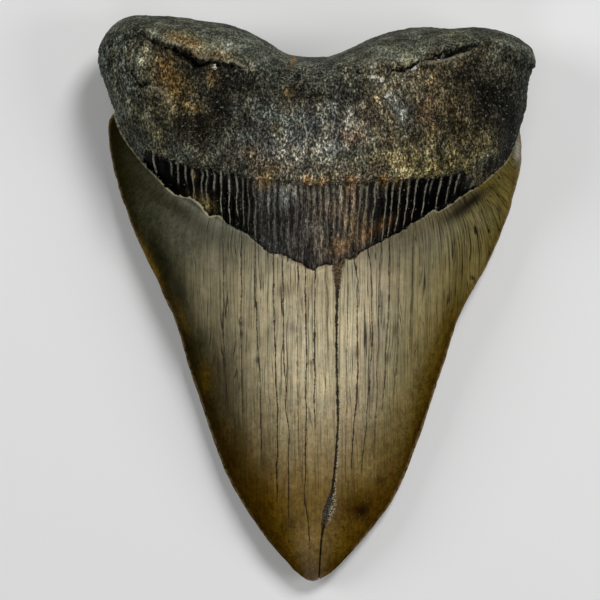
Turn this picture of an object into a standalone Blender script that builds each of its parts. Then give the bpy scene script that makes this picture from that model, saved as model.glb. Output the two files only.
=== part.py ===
"""A megalodon tooth, about 150 mm on the slant, lying on its outer face with its inner face up.

Metres, +Z up. X runs across the tooth, and Y runs from the tip (-Y) to the root (+Y). The origin is on
the surface that the tooth lies on, under the middle of its box. The tooth is one natural body, so it is
one object.

The body is a pillow of two sheets, the inner (lingual) face and the outer (labial) face, joined along
the outline. Their rows follow the tooth's own lines: the round of the tip, the edge of the enamel, the
top of the dark band, and the two-lobed base of the root.
"""

import bmesh
import bpy
import numpy as np
from mathutils import Vector, noise

MM = 0.001

# Driving dimensions, in millimetres. The body is shaped from the lines and heights below, which are real
# sizes on a tooth of these dimensions, and is scaled to them at the end.
WIDTH = 110.3
LENGTH = 143.6
THICKNESS = 30.6

# Border lines of the tooth, from left to right or from the tip upwards, in millimetres from the middle of
# its box, and how far the tip is from there.
TIP_DISTANCE = 71.8
TIP = [(-6.0, -68.8), (-3.6, -70.7), (-0.9, -71.8), (2.2, -70.7), (4.9, -68.8)]
LEFT_BLADE = [
    (-6.0, -68.8), (-13.9, -59.6), (-19.4, -51.2), (-24.2, -41.3), (-30.8, -22.9), (-36.4, -4.6),
    (-45.1, 13.8), (-51.2, 31.0), (-53.0, 43.6), (-51.3, 47.6),
]
RIGHT_BLADE = [
    (4.9, -68.8), (13.2, -59.6), (19.6, -51.2), (23.9, -41.3), (30.3, -22.9), (36.7, -4.6),
    (46.2, 13.8), (51.7, 31.6), (52.4, 39.5), (52.0, 43.4),
]
LEFT_NECK = [(-51.3, 47.6), (-51.7, 49.3)]
RIGHT_NECK = [(52.0, 43.4), (52.5, 45.4)]
LEFT_LOBE = [(-51.7, 49.3), (-53.1, 53.6), (-54.9, 58.6), (-55.1, 61.5), (-54.2, 65.0)]
RIGHT_LOBE = [(52.5, 45.4), (53.6, 50.4), (54.2, 56.0), (55.1, 60.1), (54.4, 63.4)]
BASE = [
    (-54.2, 65.0), (-51.7, 68.8), (-48.0, 71.1), (-43.0, 71.7), (-33.6, 71.3), (-21.4, 69.5),
    (-13.5, 66.0), (-7.0, 62.2), (0.0, 61.3), (6.0, 62.3), (14.0, 66.2), (21.4, 68.3), (27.5, 69.0),
    (33.6, 68.4), (39.7, 68.8), (45.8, 68.0), (51.4, 65.9), (54.4, 63.4),
]
ENAMEL_EDGE = [
    (-51.3, 47.6), (-48.9, 42.0), (-44.1, 35.1), (-36.9, 28.2), (-27.4, 21.3), (-18.0, 17.2),
    (-10.2, 11.4), (-0.7, 7.5), (7.4, 10.7), (17.6, 15.8), (30.0, 23.0), (41.8, 29.6),
    (48.5, 35.6), (52.0, 43.4),
]
BAND_TOP = [
    (-51.7, 49.3), (-46.5, 42.8), (-39.7, 37.0), (-29.5, 33.6), (-12.0, 30.4), (2.0, 29.5),
    (18.0, 30.4), (34.0, 32.3), (43.0, 36.0), (52.5, 45.4),
]
# The enamel's edge on the outer face is a shallower chevron, higher in the middle than the inner one.
OUTER_ENAMEL_EDGE = [
    (-51.3, 47.6), (-38.0, 42.0), (-18.0, 36.0), (0.0, 33.5), (18.0, 35.5), (38.0, 40.0), (52.0, 43.4),
]

# Heights in millimetres against the distance from the tip.
RIM_HEIGHT = [
    (0, 3.6), (25, 3.3), (60, 3.7), (95, 4.8), (112, 6.6), (122, 9.2), (131, 11.6), (144, 12.4),
]
CROWN_CREST = [
    (0, 5.6), (5, 8.0), (15, 11.6), (35, 16.4), (60, 20.4), (80, 23.0), (100, 25.2), (125, 27.0),
]
OUTER_FLOOR = [
    (0, 2.0), (10, 1.0), (30, -0.2), (60, -0.6), (105, -0.6), (120, -0.2), (130, 1.2), (144, 3.0),
]

# How the faces fall from their crest to the rim. Each profile is (1 - side**bulge)**fall, where side is 0
# on the middle line and 1 on the rim: a bigger bulge keeps the face full for longer.
INNER_BLADE_BULGE, INNER_BLADE_FALL = 1.9, 1.2
INNER_ROOT_BULGE, INNER_ROOT_FALL = 5.0, 0.5
OUTER_BLADE_BULGE, OUTER_BLADE_FALL = 2.2, 1.0
OUTER_ROOT_BULGE, OUTER_ROOT_FALL = 4.0, 0.6

# The root: the height of its lobes, and the boss over the middle, at (x, y), spread over (x, y). The root's
# form fades in from the first distance past its lower edge to the second.
LOBE_HEIGHT = 24.2
BOSS_HEIGHT = 6.6
BOSS_AT = (0.0, 41.0)
BOSS_SPREAD = (36.0, 15.0)
ROOT_FADE = (-13.0, 7.0)
BASE_ROUND = 10.0
TIP_ROUND = 5.0

# Ledges: how far the enamel and the root's lower edge stand over the dark band, how wide each slope is, and
# how far from the line it starts.
ENAMEL_STEP = 0.9
ENAMEL_SLOPE = 7.0
ROOT_STEP = 0.9
ROOT_SLOPE = 5.0
OUTER_STEP = 0.7
OUTER_SLOPE = 9.0
LEDGE_START = 0.3

# Ledges, cracks and lumps fade out towards the rim: over this share of the half width, and this distance
# from the base.
CALM_SHARE = 0.25
CALM_BASE = 6.0

# Cracks in the root, each a line of points, a depth and a half width.
CRACKS = [
    ([(-44.5, 67.0), (-38.5, 63.6), (-33.5, 62.6), (-28.5, 59.4)], 2.2, 2.3),
    ([(-28.5, 59.4), (-22.0, 59.8), (-17.5, 58.9)], 1.1, 1.5),
    ([(-49.0, 58.3), (-44.0, 55.2), (-37.5, 52.0)], 1.2, 1.6),
    ([(19.0, 58.4), (25.5, 59.2), (32.5, 62.6), (41.0, 64.4)], 1.5, 1.6),
]
# Pits in the root, each at (x, y), with a depth and a half width.
PITS = [
    ((-5.9, 53.0), 1.7, 2.0), ((-3.4, 53.6), 1.0, 1.5), ((-5.2, 56.8), 0.9, 1.5), ((-26.2, 48.0), 0.8, 3.0),
    ((46.0, 55.0), 1.0, 3.6), ((17.8, 52.2), 0.7, 1.8), ((-38.0, 45.0), 0.6, 2.6), ((33.0, 47.0), 0.7, 3.0),
]
# Uneven swellings of the weathered root, and how far past its lower edge they reach their full height. Each
# face has its own pattern of them.
LUMP_HEIGHT = 0.75
LUMP_SIZE = 9.0
LUMP_GAIN = 1.6
LUMP_FADE = 6.0
INNER_LUMPS = 4.0
OUTER_LUMPS = 9.0

# Folds along the outer face, below its enamel edge: they fade in just below it, and out over their reach.
FOLD_HEIGHT = 0.35
FOLD_PITCH = 9.0
FOLD_FADE = 3.0
FOLD_REACH = 30.0

# Rows of faces from tip to enamel edge, over the dark band and over the root, and columns across. The inner
# face has twice as many each way.
CROWN_ROWS = 17
BAND_ROWS = 4
ROOT_ROWS = 9
COLUMNS = 31
# The rows of the crown and of the root draw together towards their upper ends, where the form turns: how
# strongly on the crown, the band and the root.
ROW_EASING = (0.25, 0.0, 0.65)
# The key lines across the tooth, each with how far its columns crowd towards the sides.
KEY_LINES = [(TIP, 0.0), (ENAMEL_EDGE, 0.25), (BAND_TOP, 0.55), (BASE, 0.45)]
SIDES = [(LEFT_BLADE, RIGHT_BLADE), (LEFT_NECK, RIGHT_NECK), (LEFT_LOBE, RIGHT_LOBE)]

# How finely a smooth line is drawn: steps between two of its points, and points along the whole of it.
STEPS_BETWEEN = 24
POINTS_ALONG = 240
BORDER_MARGIN = 1e-6


def smooth_line(points):
    """Points evenly spaced along a Catmull-Rom curve that runs through the given ones."""
    knots = np.array(points, float)
    knots = np.vstack([2 * knots[0] - knots[1], knots, 2 * knots[-1] - knots[-2]])
    share = np.linspace(0, 1, STEPS_BETWEEN, endpoint=False)[:, None]
    runs = []
    for before, start, end, after in zip(knots, knots[1:], knots[2:], knots[3:]):
        runs.append(
            0.5 * (
                2 * start
                + (end - before) * share
                + (2 * before - 5 * start + 4 * end - after) * share**2
                + (3 * start - 3 * end + after - before) * share**3
            )
        )
    path = np.vstack(runs + [knots[-2:-1]])
    steps = np.linalg.norm(np.diff(path, axis=0), axis=1)
    along = np.concatenate([[0], np.cumsum(steps)]) / steps.sum()
    even = np.linspace(0, 1, POINTS_ALONG)
    return np.column_stack([np.interp(even, along, path[:, k]) for k in (0, 1)])


def on_line(line, share):
    """The points of a line at these shares of its length, from 0 to 1."""
    even = np.linspace(0, 1, len(line))
    return np.column_stack([np.interp(share, even, line[:, k]) for k in (0, 1)])


def height_at(knots, distance):
    """A height that runs smoothly through (distance, height) knots."""
    line = smooth_line(knots)
    return np.interp(distance, line[:, 0], line[:, 1])


def eased(low, high, value):
    """0 below low, 1 above high, and a smooth rise between them."""
    share = np.clip((value - low) / (high - low), 0, 1)
    return share * share * (3 - 2 * share)


def rounded(distance, radius):
    """A quarter round: 0 at the border, 1 from the radius inwards."""
    share = np.clip(distance / radius, 0, 1)
    return np.sqrt(1 - (1 - share) ** 2)


def spread(share, crowding):
    """Shares of a row, from 0 to 1, drawn towards both ends."""
    return (1 - crowding) * share + crowding * (0.5 - 0.5 * np.cos(np.pi * share))


def distance_to(path, x, y):
    """The distance of each point from a line of points."""
    nearest = np.full(len(x), np.inf)
    for (x0, y0), (x1, y1) in zip(path, path[1:]):
        run, rise = x1 - x0, y1 - y0
        share = np.clip(((x - x0) * run + (y - y0) * rise) / (run**2 + rise**2), 0, 1)
        nearest = np.minimum(nearest, np.hypot(x - x0 - share * run, y - y0 - share * rise))
    return nearest


def lumps(x, y, pattern):
    """Smooth unevenness between about -1 and 1."""
    places = zip(x / LUMP_SIZE, y / LUMP_SIZE)
    return np.array([noise.noise(Vector((a, b, pattern))) for a, b in places]) * LUMP_GAIN


def profile_of(side, bulge, fall):
    """How high a face stands between rim and crest, by its distance from the middle line."""
    return (1 - np.abs(side) ** bulge) ** fall


def ledge_of(over, step, slope):
    """The height of a ledge past a line: all of it at the line, and none past its slope."""
    return np.where(over > LEDGE_START, step * np.exp(-(((over - LEDGE_START) / slope) ** 2)), 0)


def border_offset(key_line, share):
    """How far a key line departs from the straight line between its ends."""
    points, crowding = key_line
    line = smooth_line(points)
    crosswise = spread(share, crowding)
    return on_line(line, crosswise) - (line[0] + (line[-1] - line[0]) * crosswise[:, None])


def place(across, upwards):
    """Where a point of the flat pillow lies.

    It returns x, y, the share across from -1 to 1, and the distance from the tip line and from the base
    line along the point's own column.
    """
    ends = np.cumsum([0, CROWN_ROWS, BAND_ROWS, ROOT_ROWS])
    row = upwards * ends[-1]
    out = np.zeros((len(row), 3))
    for zone, (left, right) in enumerate(SIDES):
        inside = (row >= ends[zone]) & (row <= ends[zone + 1])
        rise = (row[inside] - ends[zone]) / (ends[zone + 1] - ends[zone])
        easing = ROW_EASING[zone]
        rise = (1 - easing) * rise + easing * np.sin(np.pi * rise / 2)
        share = across[inside]
        low = border_offset(KEY_LINES[zone], share)
        high = border_offset(KEY_LINES[zone + 1], share)
        crowding = KEY_LINES[zone][1] * (1 - rise) + KEY_LINES[zone + 1][1] * rise
        crosswise = spread(share, crowding)
        start = on_line(smooth_line(left), rise)
        end = on_line(smooth_line(right), rise)
        bow = low + (high - low) * rise[:, None]
        out[inside, :2] = start + (end - start) * crosswise[:, None] + bow
        out[inside, 2] = 2 * crosswise - 1
    tip = on_line(smooth_line(TIP), across)
    base = on_line(smooth_line(BASE), spread(across, KEY_LINES[-1][1]))
    from_tip = np.hypot(out[:, 0] - tip[:, 0], out[:, 1] - tip[:, 1])
    from_base = np.hypot(out[:, 0] - base[:, 0], out[:, 1] - base[:, 1])
    return out[:, 0], out[:, 1], out[:, 2], from_tip, from_base


def line_height(points, x):
    """The y of a line across the tooth at each x."""
    line = smooth_line(points)
    return np.interp(x, line[:, 0], line[:, 1])


def inner_face(x, y, side, from_tip, from_base):
    """Height of the inner face: a crowned blade, a sunken band, and a thick two-lobed root."""
    distance = y + TIP_DISTANCE
    rim = height_at(RIM_HEIGHT, distance)
    over_band = y - line_height(BAND_TOP, x)
    over_enamel = y - line_height(ENAMEL_EDGE, x)
    root = eased(*ROOT_FADE, over_band)
    blade_profile = profile_of(side, INNER_BLADE_BULGE, INNER_BLADE_FALL)
    root_profile = profile_of(side, INNER_ROOT_BULGE, INNER_ROOT_FALL)
    boss_x = (x - BOSS_AT[0]) / BOSS_SPREAD[0]
    boss_y = (y - BOSS_AT[1]) / BOSS_SPREAD[1]
    root_crest = LOBE_HEIGHT + BOSS_HEIGHT * np.exp(-(boss_x**2) - boss_y**2)
    crest = height_at(CROWN_CREST, distance) * (1 - root) + root_crest * root
    profile = blade_profile * (1 - root) + root_profile * root
    border = rounded(from_tip, TIP_ROUND) * rounded(from_base, BASE_ROUND)

    inwards = eased(0.0, CALM_SHARE, 1 - np.abs(side)) * eased(0.0, CALM_BASE, from_base)
    relief = ledge_of(-over_enamel, ENAMEL_STEP, ENAMEL_SLOPE) + ledge_of(over_band, ROOT_STEP, ROOT_SLOPE)
    relief += LUMP_HEIGHT * lumps(x, y, INNER_LUMPS) * eased(0.0, LUMP_FADE, over_band)
    for path, depth, half_width in CRACKS:
        relief -= depth * np.exp(-((distance_to(path, x, y) / half_width) ** 2))
    for (pit_x, pit_y), depth, half_width in PITS:
        relief -= depth * np.exp(-((np.hypot(x - pit_x, y - pit_y) / half_width) ** 2))
    return rim + (crest - rim) * profile * border + relief * inwards


def outer_face(x, y, side, from_tip, from_base):
    """Height of the outer face, nearly flat, with the part that the tooth lies on at zero."""
    distance = y + TIP_DISTANCE
    rim = height_at(RIM_HEIGHT, distance)
    over_enamel = y - line_height(OUTER_ENAMEL_EDGE, x)
    root = eased(*ROOT_FADE, over_enamel)
    blade_profile = profile_of(side, OUTER_BLADE_BULGE, OUTER_BLADE_FALL)
    root_profile = profile_of(side, OUTER_ROOT_BULGE, OUTER_ROOT_FALL)
    profile = blade_profile * (1 - root) + root_profile * root
    border = rounded(from_tip, TIP_ROUND) * rounded(from_base, BASE_ROUND)
    depth = rim - height_at(OUTER_FLOOR, distance)

    inwards = eased(0.0, CALM_SHARE, 1 - np.abs(side)) * eased(0.0, CALM_BASE, from_base)
    below = np.clip(-over_enamel, 0, None)
    folds = eased(0.0, FOLD_FADE, below) * np.exp(-((below / FOLD_REACH) ** 2))
    relief = ledge_of(over_enamel, OUTER_STEP, OUTER_SLOPE)
    relief += FOLD_HEIGHT * np.cos(2 * np.pi * x / FOLD_PITCH) * folds
    relief += LUMP_HEIGHT * lumps(x, y, OUTER_LUMPS) * eased(0.0, LUMP_FADE, over_enamel)
    return np.maximum(rim - depth * profile * border + relief * inwards, 0.0)


def pillow():
    """Two flat sheets joined along their border, the inner one with twice as many faces each way."""
    rows = CROWN_ROWS + BAND_ROWS + ROOT_ROWS
    mesh = bmesh.new()
    for lift in (1.0, -1.0):
        made = bmesh.ops.create_grid(mesh, x_segments=COLUMNS, y_segments=rows, size=1.0)
        for vertex in made["verts"]:
            if max(abs(vertex.co.x), abs(vertex.co.y)) < 1.0 - BORDER_MARGIN:
                vertex.co.z = lift
    bmesh.ops.remove_doubles(mesh, verts=mesh.verts, dist=BORDER_MARGIN)
    inner = [face for face in mesh.faces if face.calc_center_median().z > 0]
    edges = list({edge for face in inner for edge in face.edges})
    bmesh.ops.subdivide_edges(mesh, edges=edges, cuts=1, use_grid_fill=True)
    return mesh


def shape(mesh):
    """Moves each point of the pillow to its place on the tooth."""
    flat = np.array([vertex.co for vertex in mesh.verts], float)
    x, y, side, from_tip, from_base = place((flat[:, 0] + 1) / 2, (flat[:, 1] + 1) / 2)
    side = np.clip(side, -1, 1)
    inner = flat[:, 2] > BORDER_MARGIN
    border = np.abs(flat[:, 2]) <= BORDER_MARGIN
    height = np.where(
        inner,
        inner_face(x, y, side, from_tip, from_base),
        outer_face(x, y, side, from_tip, from_base),
    )
    height = np.where(border, height_at(RIM_HEIGHT, y + TIP_DISTANCE), height)
    x *= WIDTH / (x.max() - x.min())
    y *= LENGTH / (y.max() - y.min())
    height *= THICKNESS / height.max()
    for vertex, place_mm in zip(mesh.verts, np.column_stack([x, y, height])):
        vertex.co = Vector(place_mm) * MM
    uneven = [face for face in mesh.faces if len(face.verts) > 4]
    bmesh.ops.triangulate(mesh, faces=uneven, ngon_method="BEAUTY")
    centre = [(max(c) + min(c)) / 2 for c in zip(*(vertex.co.xy for vertex in mesh.verts))]
    bmesh.ops.translate(mesh, verts=mesh.verts, vec=(-centre[0], -centre[1], 0.0))
    bmesh.ops.recalc_face_normals(mesh, faces=mesh.faces)


def enamel_and_root():
    """One fossil material for the body, between the grey of the root and the tan of the enamel."""
    material = bpy.data.materials.new("fossil_tooth")
    material.use_nodes = True
    shader = material.node_tree.nodes["Principled BSDF"]
    shader.inputs["Base Color"].default_value = (0.22, 0.19, 0.12, 1.0)
    shader.inputs["Roughness"].default_value = 0.5
    shader.inputs["Metallic"].default_value = 0.0
    return material


def build_tooth(collection):
    """The tooth as one closed mesh."""
    mesh = pillow()
    shape(mesh)
    data = bpy.data.meshes.new("tooth")
    mesh.to_mesh(data)
    mesh.free()
    data.shade_smooth()
    data.materials.append(enamel_and_root())
    tooth = bpy.data.objects.new("tooth", data)
    collection.objects.link(tooth)
    return tooth


def main():
    for existing in list(bpy.data.objects):
        bpy.data.objects.remove(existing)
    collection = bpy.data.collections.new("megalodon_tooth")
    bpy.context.scene.collection.children.link(collection)
    build_tooth(collection)


if __name__ == "__main__":
    main()
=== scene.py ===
"""A fossil megalodon tooth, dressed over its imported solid.

The tooth is one natural body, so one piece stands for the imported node: a closed mesh with the blade's worn
edges, the sunken ribbed band and the cracked, two-lobed root. Its one finish lays enamel, band and root side
by side. Sizes and places are in millimetres from the middle of the tooth's box, unless they say otherwise.
"""

import logging
import math
from dataclasses import dataclass, field
from enum import Enum

import bpy
import numpy as np
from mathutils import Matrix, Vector


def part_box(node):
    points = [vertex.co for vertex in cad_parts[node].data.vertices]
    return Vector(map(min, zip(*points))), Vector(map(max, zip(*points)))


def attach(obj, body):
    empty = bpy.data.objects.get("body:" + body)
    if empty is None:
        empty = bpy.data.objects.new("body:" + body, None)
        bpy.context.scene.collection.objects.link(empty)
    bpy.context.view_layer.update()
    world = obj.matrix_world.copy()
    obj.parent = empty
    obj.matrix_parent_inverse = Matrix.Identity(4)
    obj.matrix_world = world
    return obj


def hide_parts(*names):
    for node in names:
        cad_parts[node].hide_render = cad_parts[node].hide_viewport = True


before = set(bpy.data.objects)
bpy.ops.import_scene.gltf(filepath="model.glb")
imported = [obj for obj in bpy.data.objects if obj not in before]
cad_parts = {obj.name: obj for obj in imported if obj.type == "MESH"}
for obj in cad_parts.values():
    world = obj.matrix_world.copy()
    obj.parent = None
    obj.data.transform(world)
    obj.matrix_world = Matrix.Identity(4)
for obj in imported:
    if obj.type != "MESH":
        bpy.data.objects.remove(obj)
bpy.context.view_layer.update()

MM = 0.001
NODE = "tooth"
BODY = "root"
NEAR = 1e-6

log = logging.getLogger("megalodon_tooth")

Array = np.ndarray
Point = tuple[float, float]
Colour = tuple[float, float, float]
Mixed = tuple[int, int, int]
Stretch = tuple[float, float, float]
Socket = bpy.types.NodeSocket


class Blend(Enum):
    """How a node joins two colours."""

    MIX = "MIX"
    MULTIPLY = "MULTIPLY"


def paint(red: int, green: int, blue: int) -> Colour:
    """A colour on a 0 to 255 scale, as the linear values that a shader takes.

    Args:
        red: Red share.
        green: Green share.
        blue: Blue share.

    Returns:
        The linear red, green and blue.
    """
    shares = (red / 255, green / 255, blue / 255)
    return tuple(c / 12.92 if c <= 0.04045 else ((c + 0.055) / 1.055) ** 2.4 for c in shares)


def rise(low: float, high: float, value: Array) -> Array:
    """0 below low, 1 above high, and a smooth climb between them.

    Args:
        low: Where the climb starts.
        high: Where it ends.
        value: The values to read.

    Returns:
        The share climbed at each value.
    """
    share = np.clip((value - low) / (high - low), 0, 1)
    return share * share * (3 - 2 * share)


def bell(distance: Array, half_width: float) -> Array:
    """A smooth bump: 1 at no distance, and near 0 past twice its half width."""
    return np.exp(-((distance / half_width) ** 2))


def quarter_round(distance: Array, radius: float) -> Array:
    """A rounded border: 0 at the border, 1 from the radius inwards."""
    share = np.clip(distance / radius, 0, 1)
    return np.sqrt(1 - (1 - share) ** 2)


def crowd(share: Array, crowding: float) -> Array:
    """Shares of a row drawn towards both of its ends.

    Args:
        share: Even shares from 0 to 1.
        crowding: 0 for even columns, 1 for columns that bunch at the sides.

    Returns:
        The crowded shares.
    """
    return (1 - crowding) * share + crowding * (0.5 - 0.5 * np.cos(np.pi * share))


class Roughcast:
    """Smooth three-dimensional unevenness from one seeded block of random values."""

    SIDE = 64
    SHIFT = 17.3
    GAIN = 1.5

    def __init__(self, seed: int) -> None:
        """Fills the block.

        Args:
            seed: Chooses the pattern.
        """
        self.block = np.random.default_rng(seed).uniform(-1, 1, (self.SIDE,) * 3)

    def smooth(self, place: Array) -> Array:
        """One octave of unevenness.

        Args:
            place: Points in lumps, as rows of three.

        Returns:
            Values between -1 and 1.
        """
        corner = np.floor(place).astype(int)
        share = place - corner
        share = share * share * (3 - 2 * share)
        total = np.zeros(len(place))
        for step in np.ndindex(2, 2, 2):
            at = (corner + step) % self.SIDE
            weight = np.prod(np.where(step, share, 1 - share), axis=1)
            total += weight * self.block[at[:, 0], at[:, 1], at[:, 2]]
        return total

    def lumps(self, place: Array, size: float, octaves: int = 3, fade: float = 0.5) -> Array:
        """Several octaves of unevenness laid over each other.

        Args:
            place: Points in millimetres, as rows of three.
            size: Size of the largest lumps in millimetres.
            octaves: How many sizes of lump, each half the last.
            fade: How strong each size is against the last.

        Returns:
            Values mostly between -1 and 1.
        """
        total = np.zeros(len(place))
        for octave in range(octaves):
            scale = 2**octave / size
            total += fade**octave * self.smooth(place * scale + self.SHIFT * octave)
        return total * self.GAIN


@dataclass(frozen=True)
class Line:
    """A smooth line across or along the tooth, drawn through a few points in millimetres."""

    CURVE_STEPS = 24
    PIECES_PER_POINT = 14

    points: tuple[Point, ...]

    def drawn(self, count: int = 320) -> Array:
        """The line as even points along a Catmull-Rom curve.

        Args:
            count: How many points.

        Returns:
            Rows of x and y.
        """
        knots = np.array(self.points, float)
        knots = np.vstack([2 * knots[0] - knots[1], knots, 2 * knots[-1] - knots[-2]])
        share = np.linspace(0, 1, self.CURVE_STEPS, endpoint=False)[:, None]
        runs = [
            0.5 * (
                2 * start
                + (end - before) * share
                + (2 * before - 5 * start + 4 * end - after) * share**2
                + (3 * start - 3 * end + after - before) * share**3
            )
            for before, start, end, after in zip(knots, knots[1:], knots[2:], knots[3:])
        ]
        path = np.vstack(runs + [knots[-2:-1]])
        steps = np.linalg.norm(np.diff(path, axis=0), axis=1)
        along = np.concatenate([[0], np.cumsum(steps)]) / steps.sum()
        even = np.linspace(0, 1, count)
        return np.column_stack([np.interp(even, along, path[:, k]) for k in (0, 1)])

    def at(self, share: Array) -> Array:
        """The points at these shares of the line's length.

        Args:
            share: Shares from 0 to 1.

        Returns:
            Rows of x and y.
        """
        path = self.drawn()
        even = np.linspace(0, 1, len(path))
        return np.column_stack([np.interp(share, even, path[:, k]) for k in (0, 1)])

    def reading(self, value: Array) -> Array:
        """The line read as a curve: its second number at each first number."""
        path = self.drawn()
        return np.interp(value, path[:, 0], path[:, 1])

    def crossing(self, y: Array) -> Array:
        """The line read the other way, for a line that only climbs or only falls.

        Args:
            y: Second numbers.

        Returns:
            The line's first number at each.
        """
        knots = np.array(sorted(self.points, key=lambda point: point[1]), float)
        return np.interp(y, knots[:, 1], knots[:, 0])

    def distance(self, x: Array, y: Array) -> Array:
        """How far each point is from the line, in millimetres.

        Args:
            x: Places across.
            y: Places along.

        Returns:
            The distances.
        """
        nearest = np.full(len(x), np.inf)
        path = self.drawn(max(self.CURVE_STEPS, self.PIECES_PER_POINT * len(self.points)))
        for (x0, y0), (x1, y1) in zip(path, path[1:]):
            run, climb = x1 - x0, y1 - y0
            share = np.clip(((x - x0) * run + (y - y0) * climb) / (run**2 + climb**2), 0, 1)
            nearest = np.minimum(nearest, (x - x0 - share * run) ** 2 + (y - y0 - share * climb) ** 2)
        return np.sqrt(nearest)

    def past(self, x: Array, y: Array) -> Array:
        """How far each point is past a line that runs from left to right, and below 0 before it."""
        return np.sign(y - self.reading(x)) * self.distance(x, y)


@dataclass(frozen=True)
class Dent:
    """A round hollow or chip in the surface."""

    x: float
    y: float
    depth: float
    half_width: float


@dataclass(frozen=True)
class Crack:
    """An open crack: its line, and how deep and wide it is in millimetres."""

    line: Line
    depth: float
    half_width: float
    taper: float = 3.0

    def ratio(self, x: Array, y: Array, uneven: Array) -> Array:
        """How far each point is from the crack, against its half width there.

        Args:
            x: Places across.
            y: Places along.
            uneven: Unevenness that widens and narrows the crack.

        Returns:
            The ratios, 1 at the crack's sides.
        """
        (x0, y0), (x1, y1) = self.line.points[0], self.line.points[-1]
        end = np.minimum(np.hypot(x - x0, y - y0), np.hypot(x - x1, y - y1))
        tapered = 0.3 + 0.7 * rise(0, self.taper, end)
        width = self.half_width * tapered * np.clip(1 + 0.75 * uneven, 0.3, 1.7)
        return self.line.distance(x, y) / width


@dataclass(frozen=True)
class Patch:
    """A soft patch of colour on the surface, mixed on a 0 to 255 scale and turned by an angle in degrees."""

    x: float
    y: float
    wide: float
    tall: float
    colour: Mixed
    strength: float = 1.0
    turn: float = 0.0

    def over(self, x: Array, y: Array) -> Array:
        """How strongly the patch covers each point.

        Args:
            x: Places across.
            y: Places along.

        Returns:
            Shares from 0 to 1.
        """
        turn = math.radians(self.turn)
        across = (x - self.x) * math.cos(turn) + (y - self.y) * math.sin(turn)
        along = (y - self.y) * math.cos(turn) - (x - self.x) * math.sin(turn)
        return self.strength * np.exp(-((across / self.wide) ** 2) - (along / self.tall) ** 2)


@dataclass
class Spots:
    """Where every point of the mesh lies: its place in millimetres and its place on the tooth."""

    x: Array
    y: Array
    side: Array
    from_tip: Array
    from_base: Array
    face: Array
    z: Array = field(default_factory=lambda: np.zeros(0))

    @property
    def inner(self) -> Array:
        """Which points are on the inner face or the border."""
        return self.face >= 0

    @property
    def place(self) -> Array:
        """The places as rows of three."""
        return np.column_stack([self.x, self.y, self.z])


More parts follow.
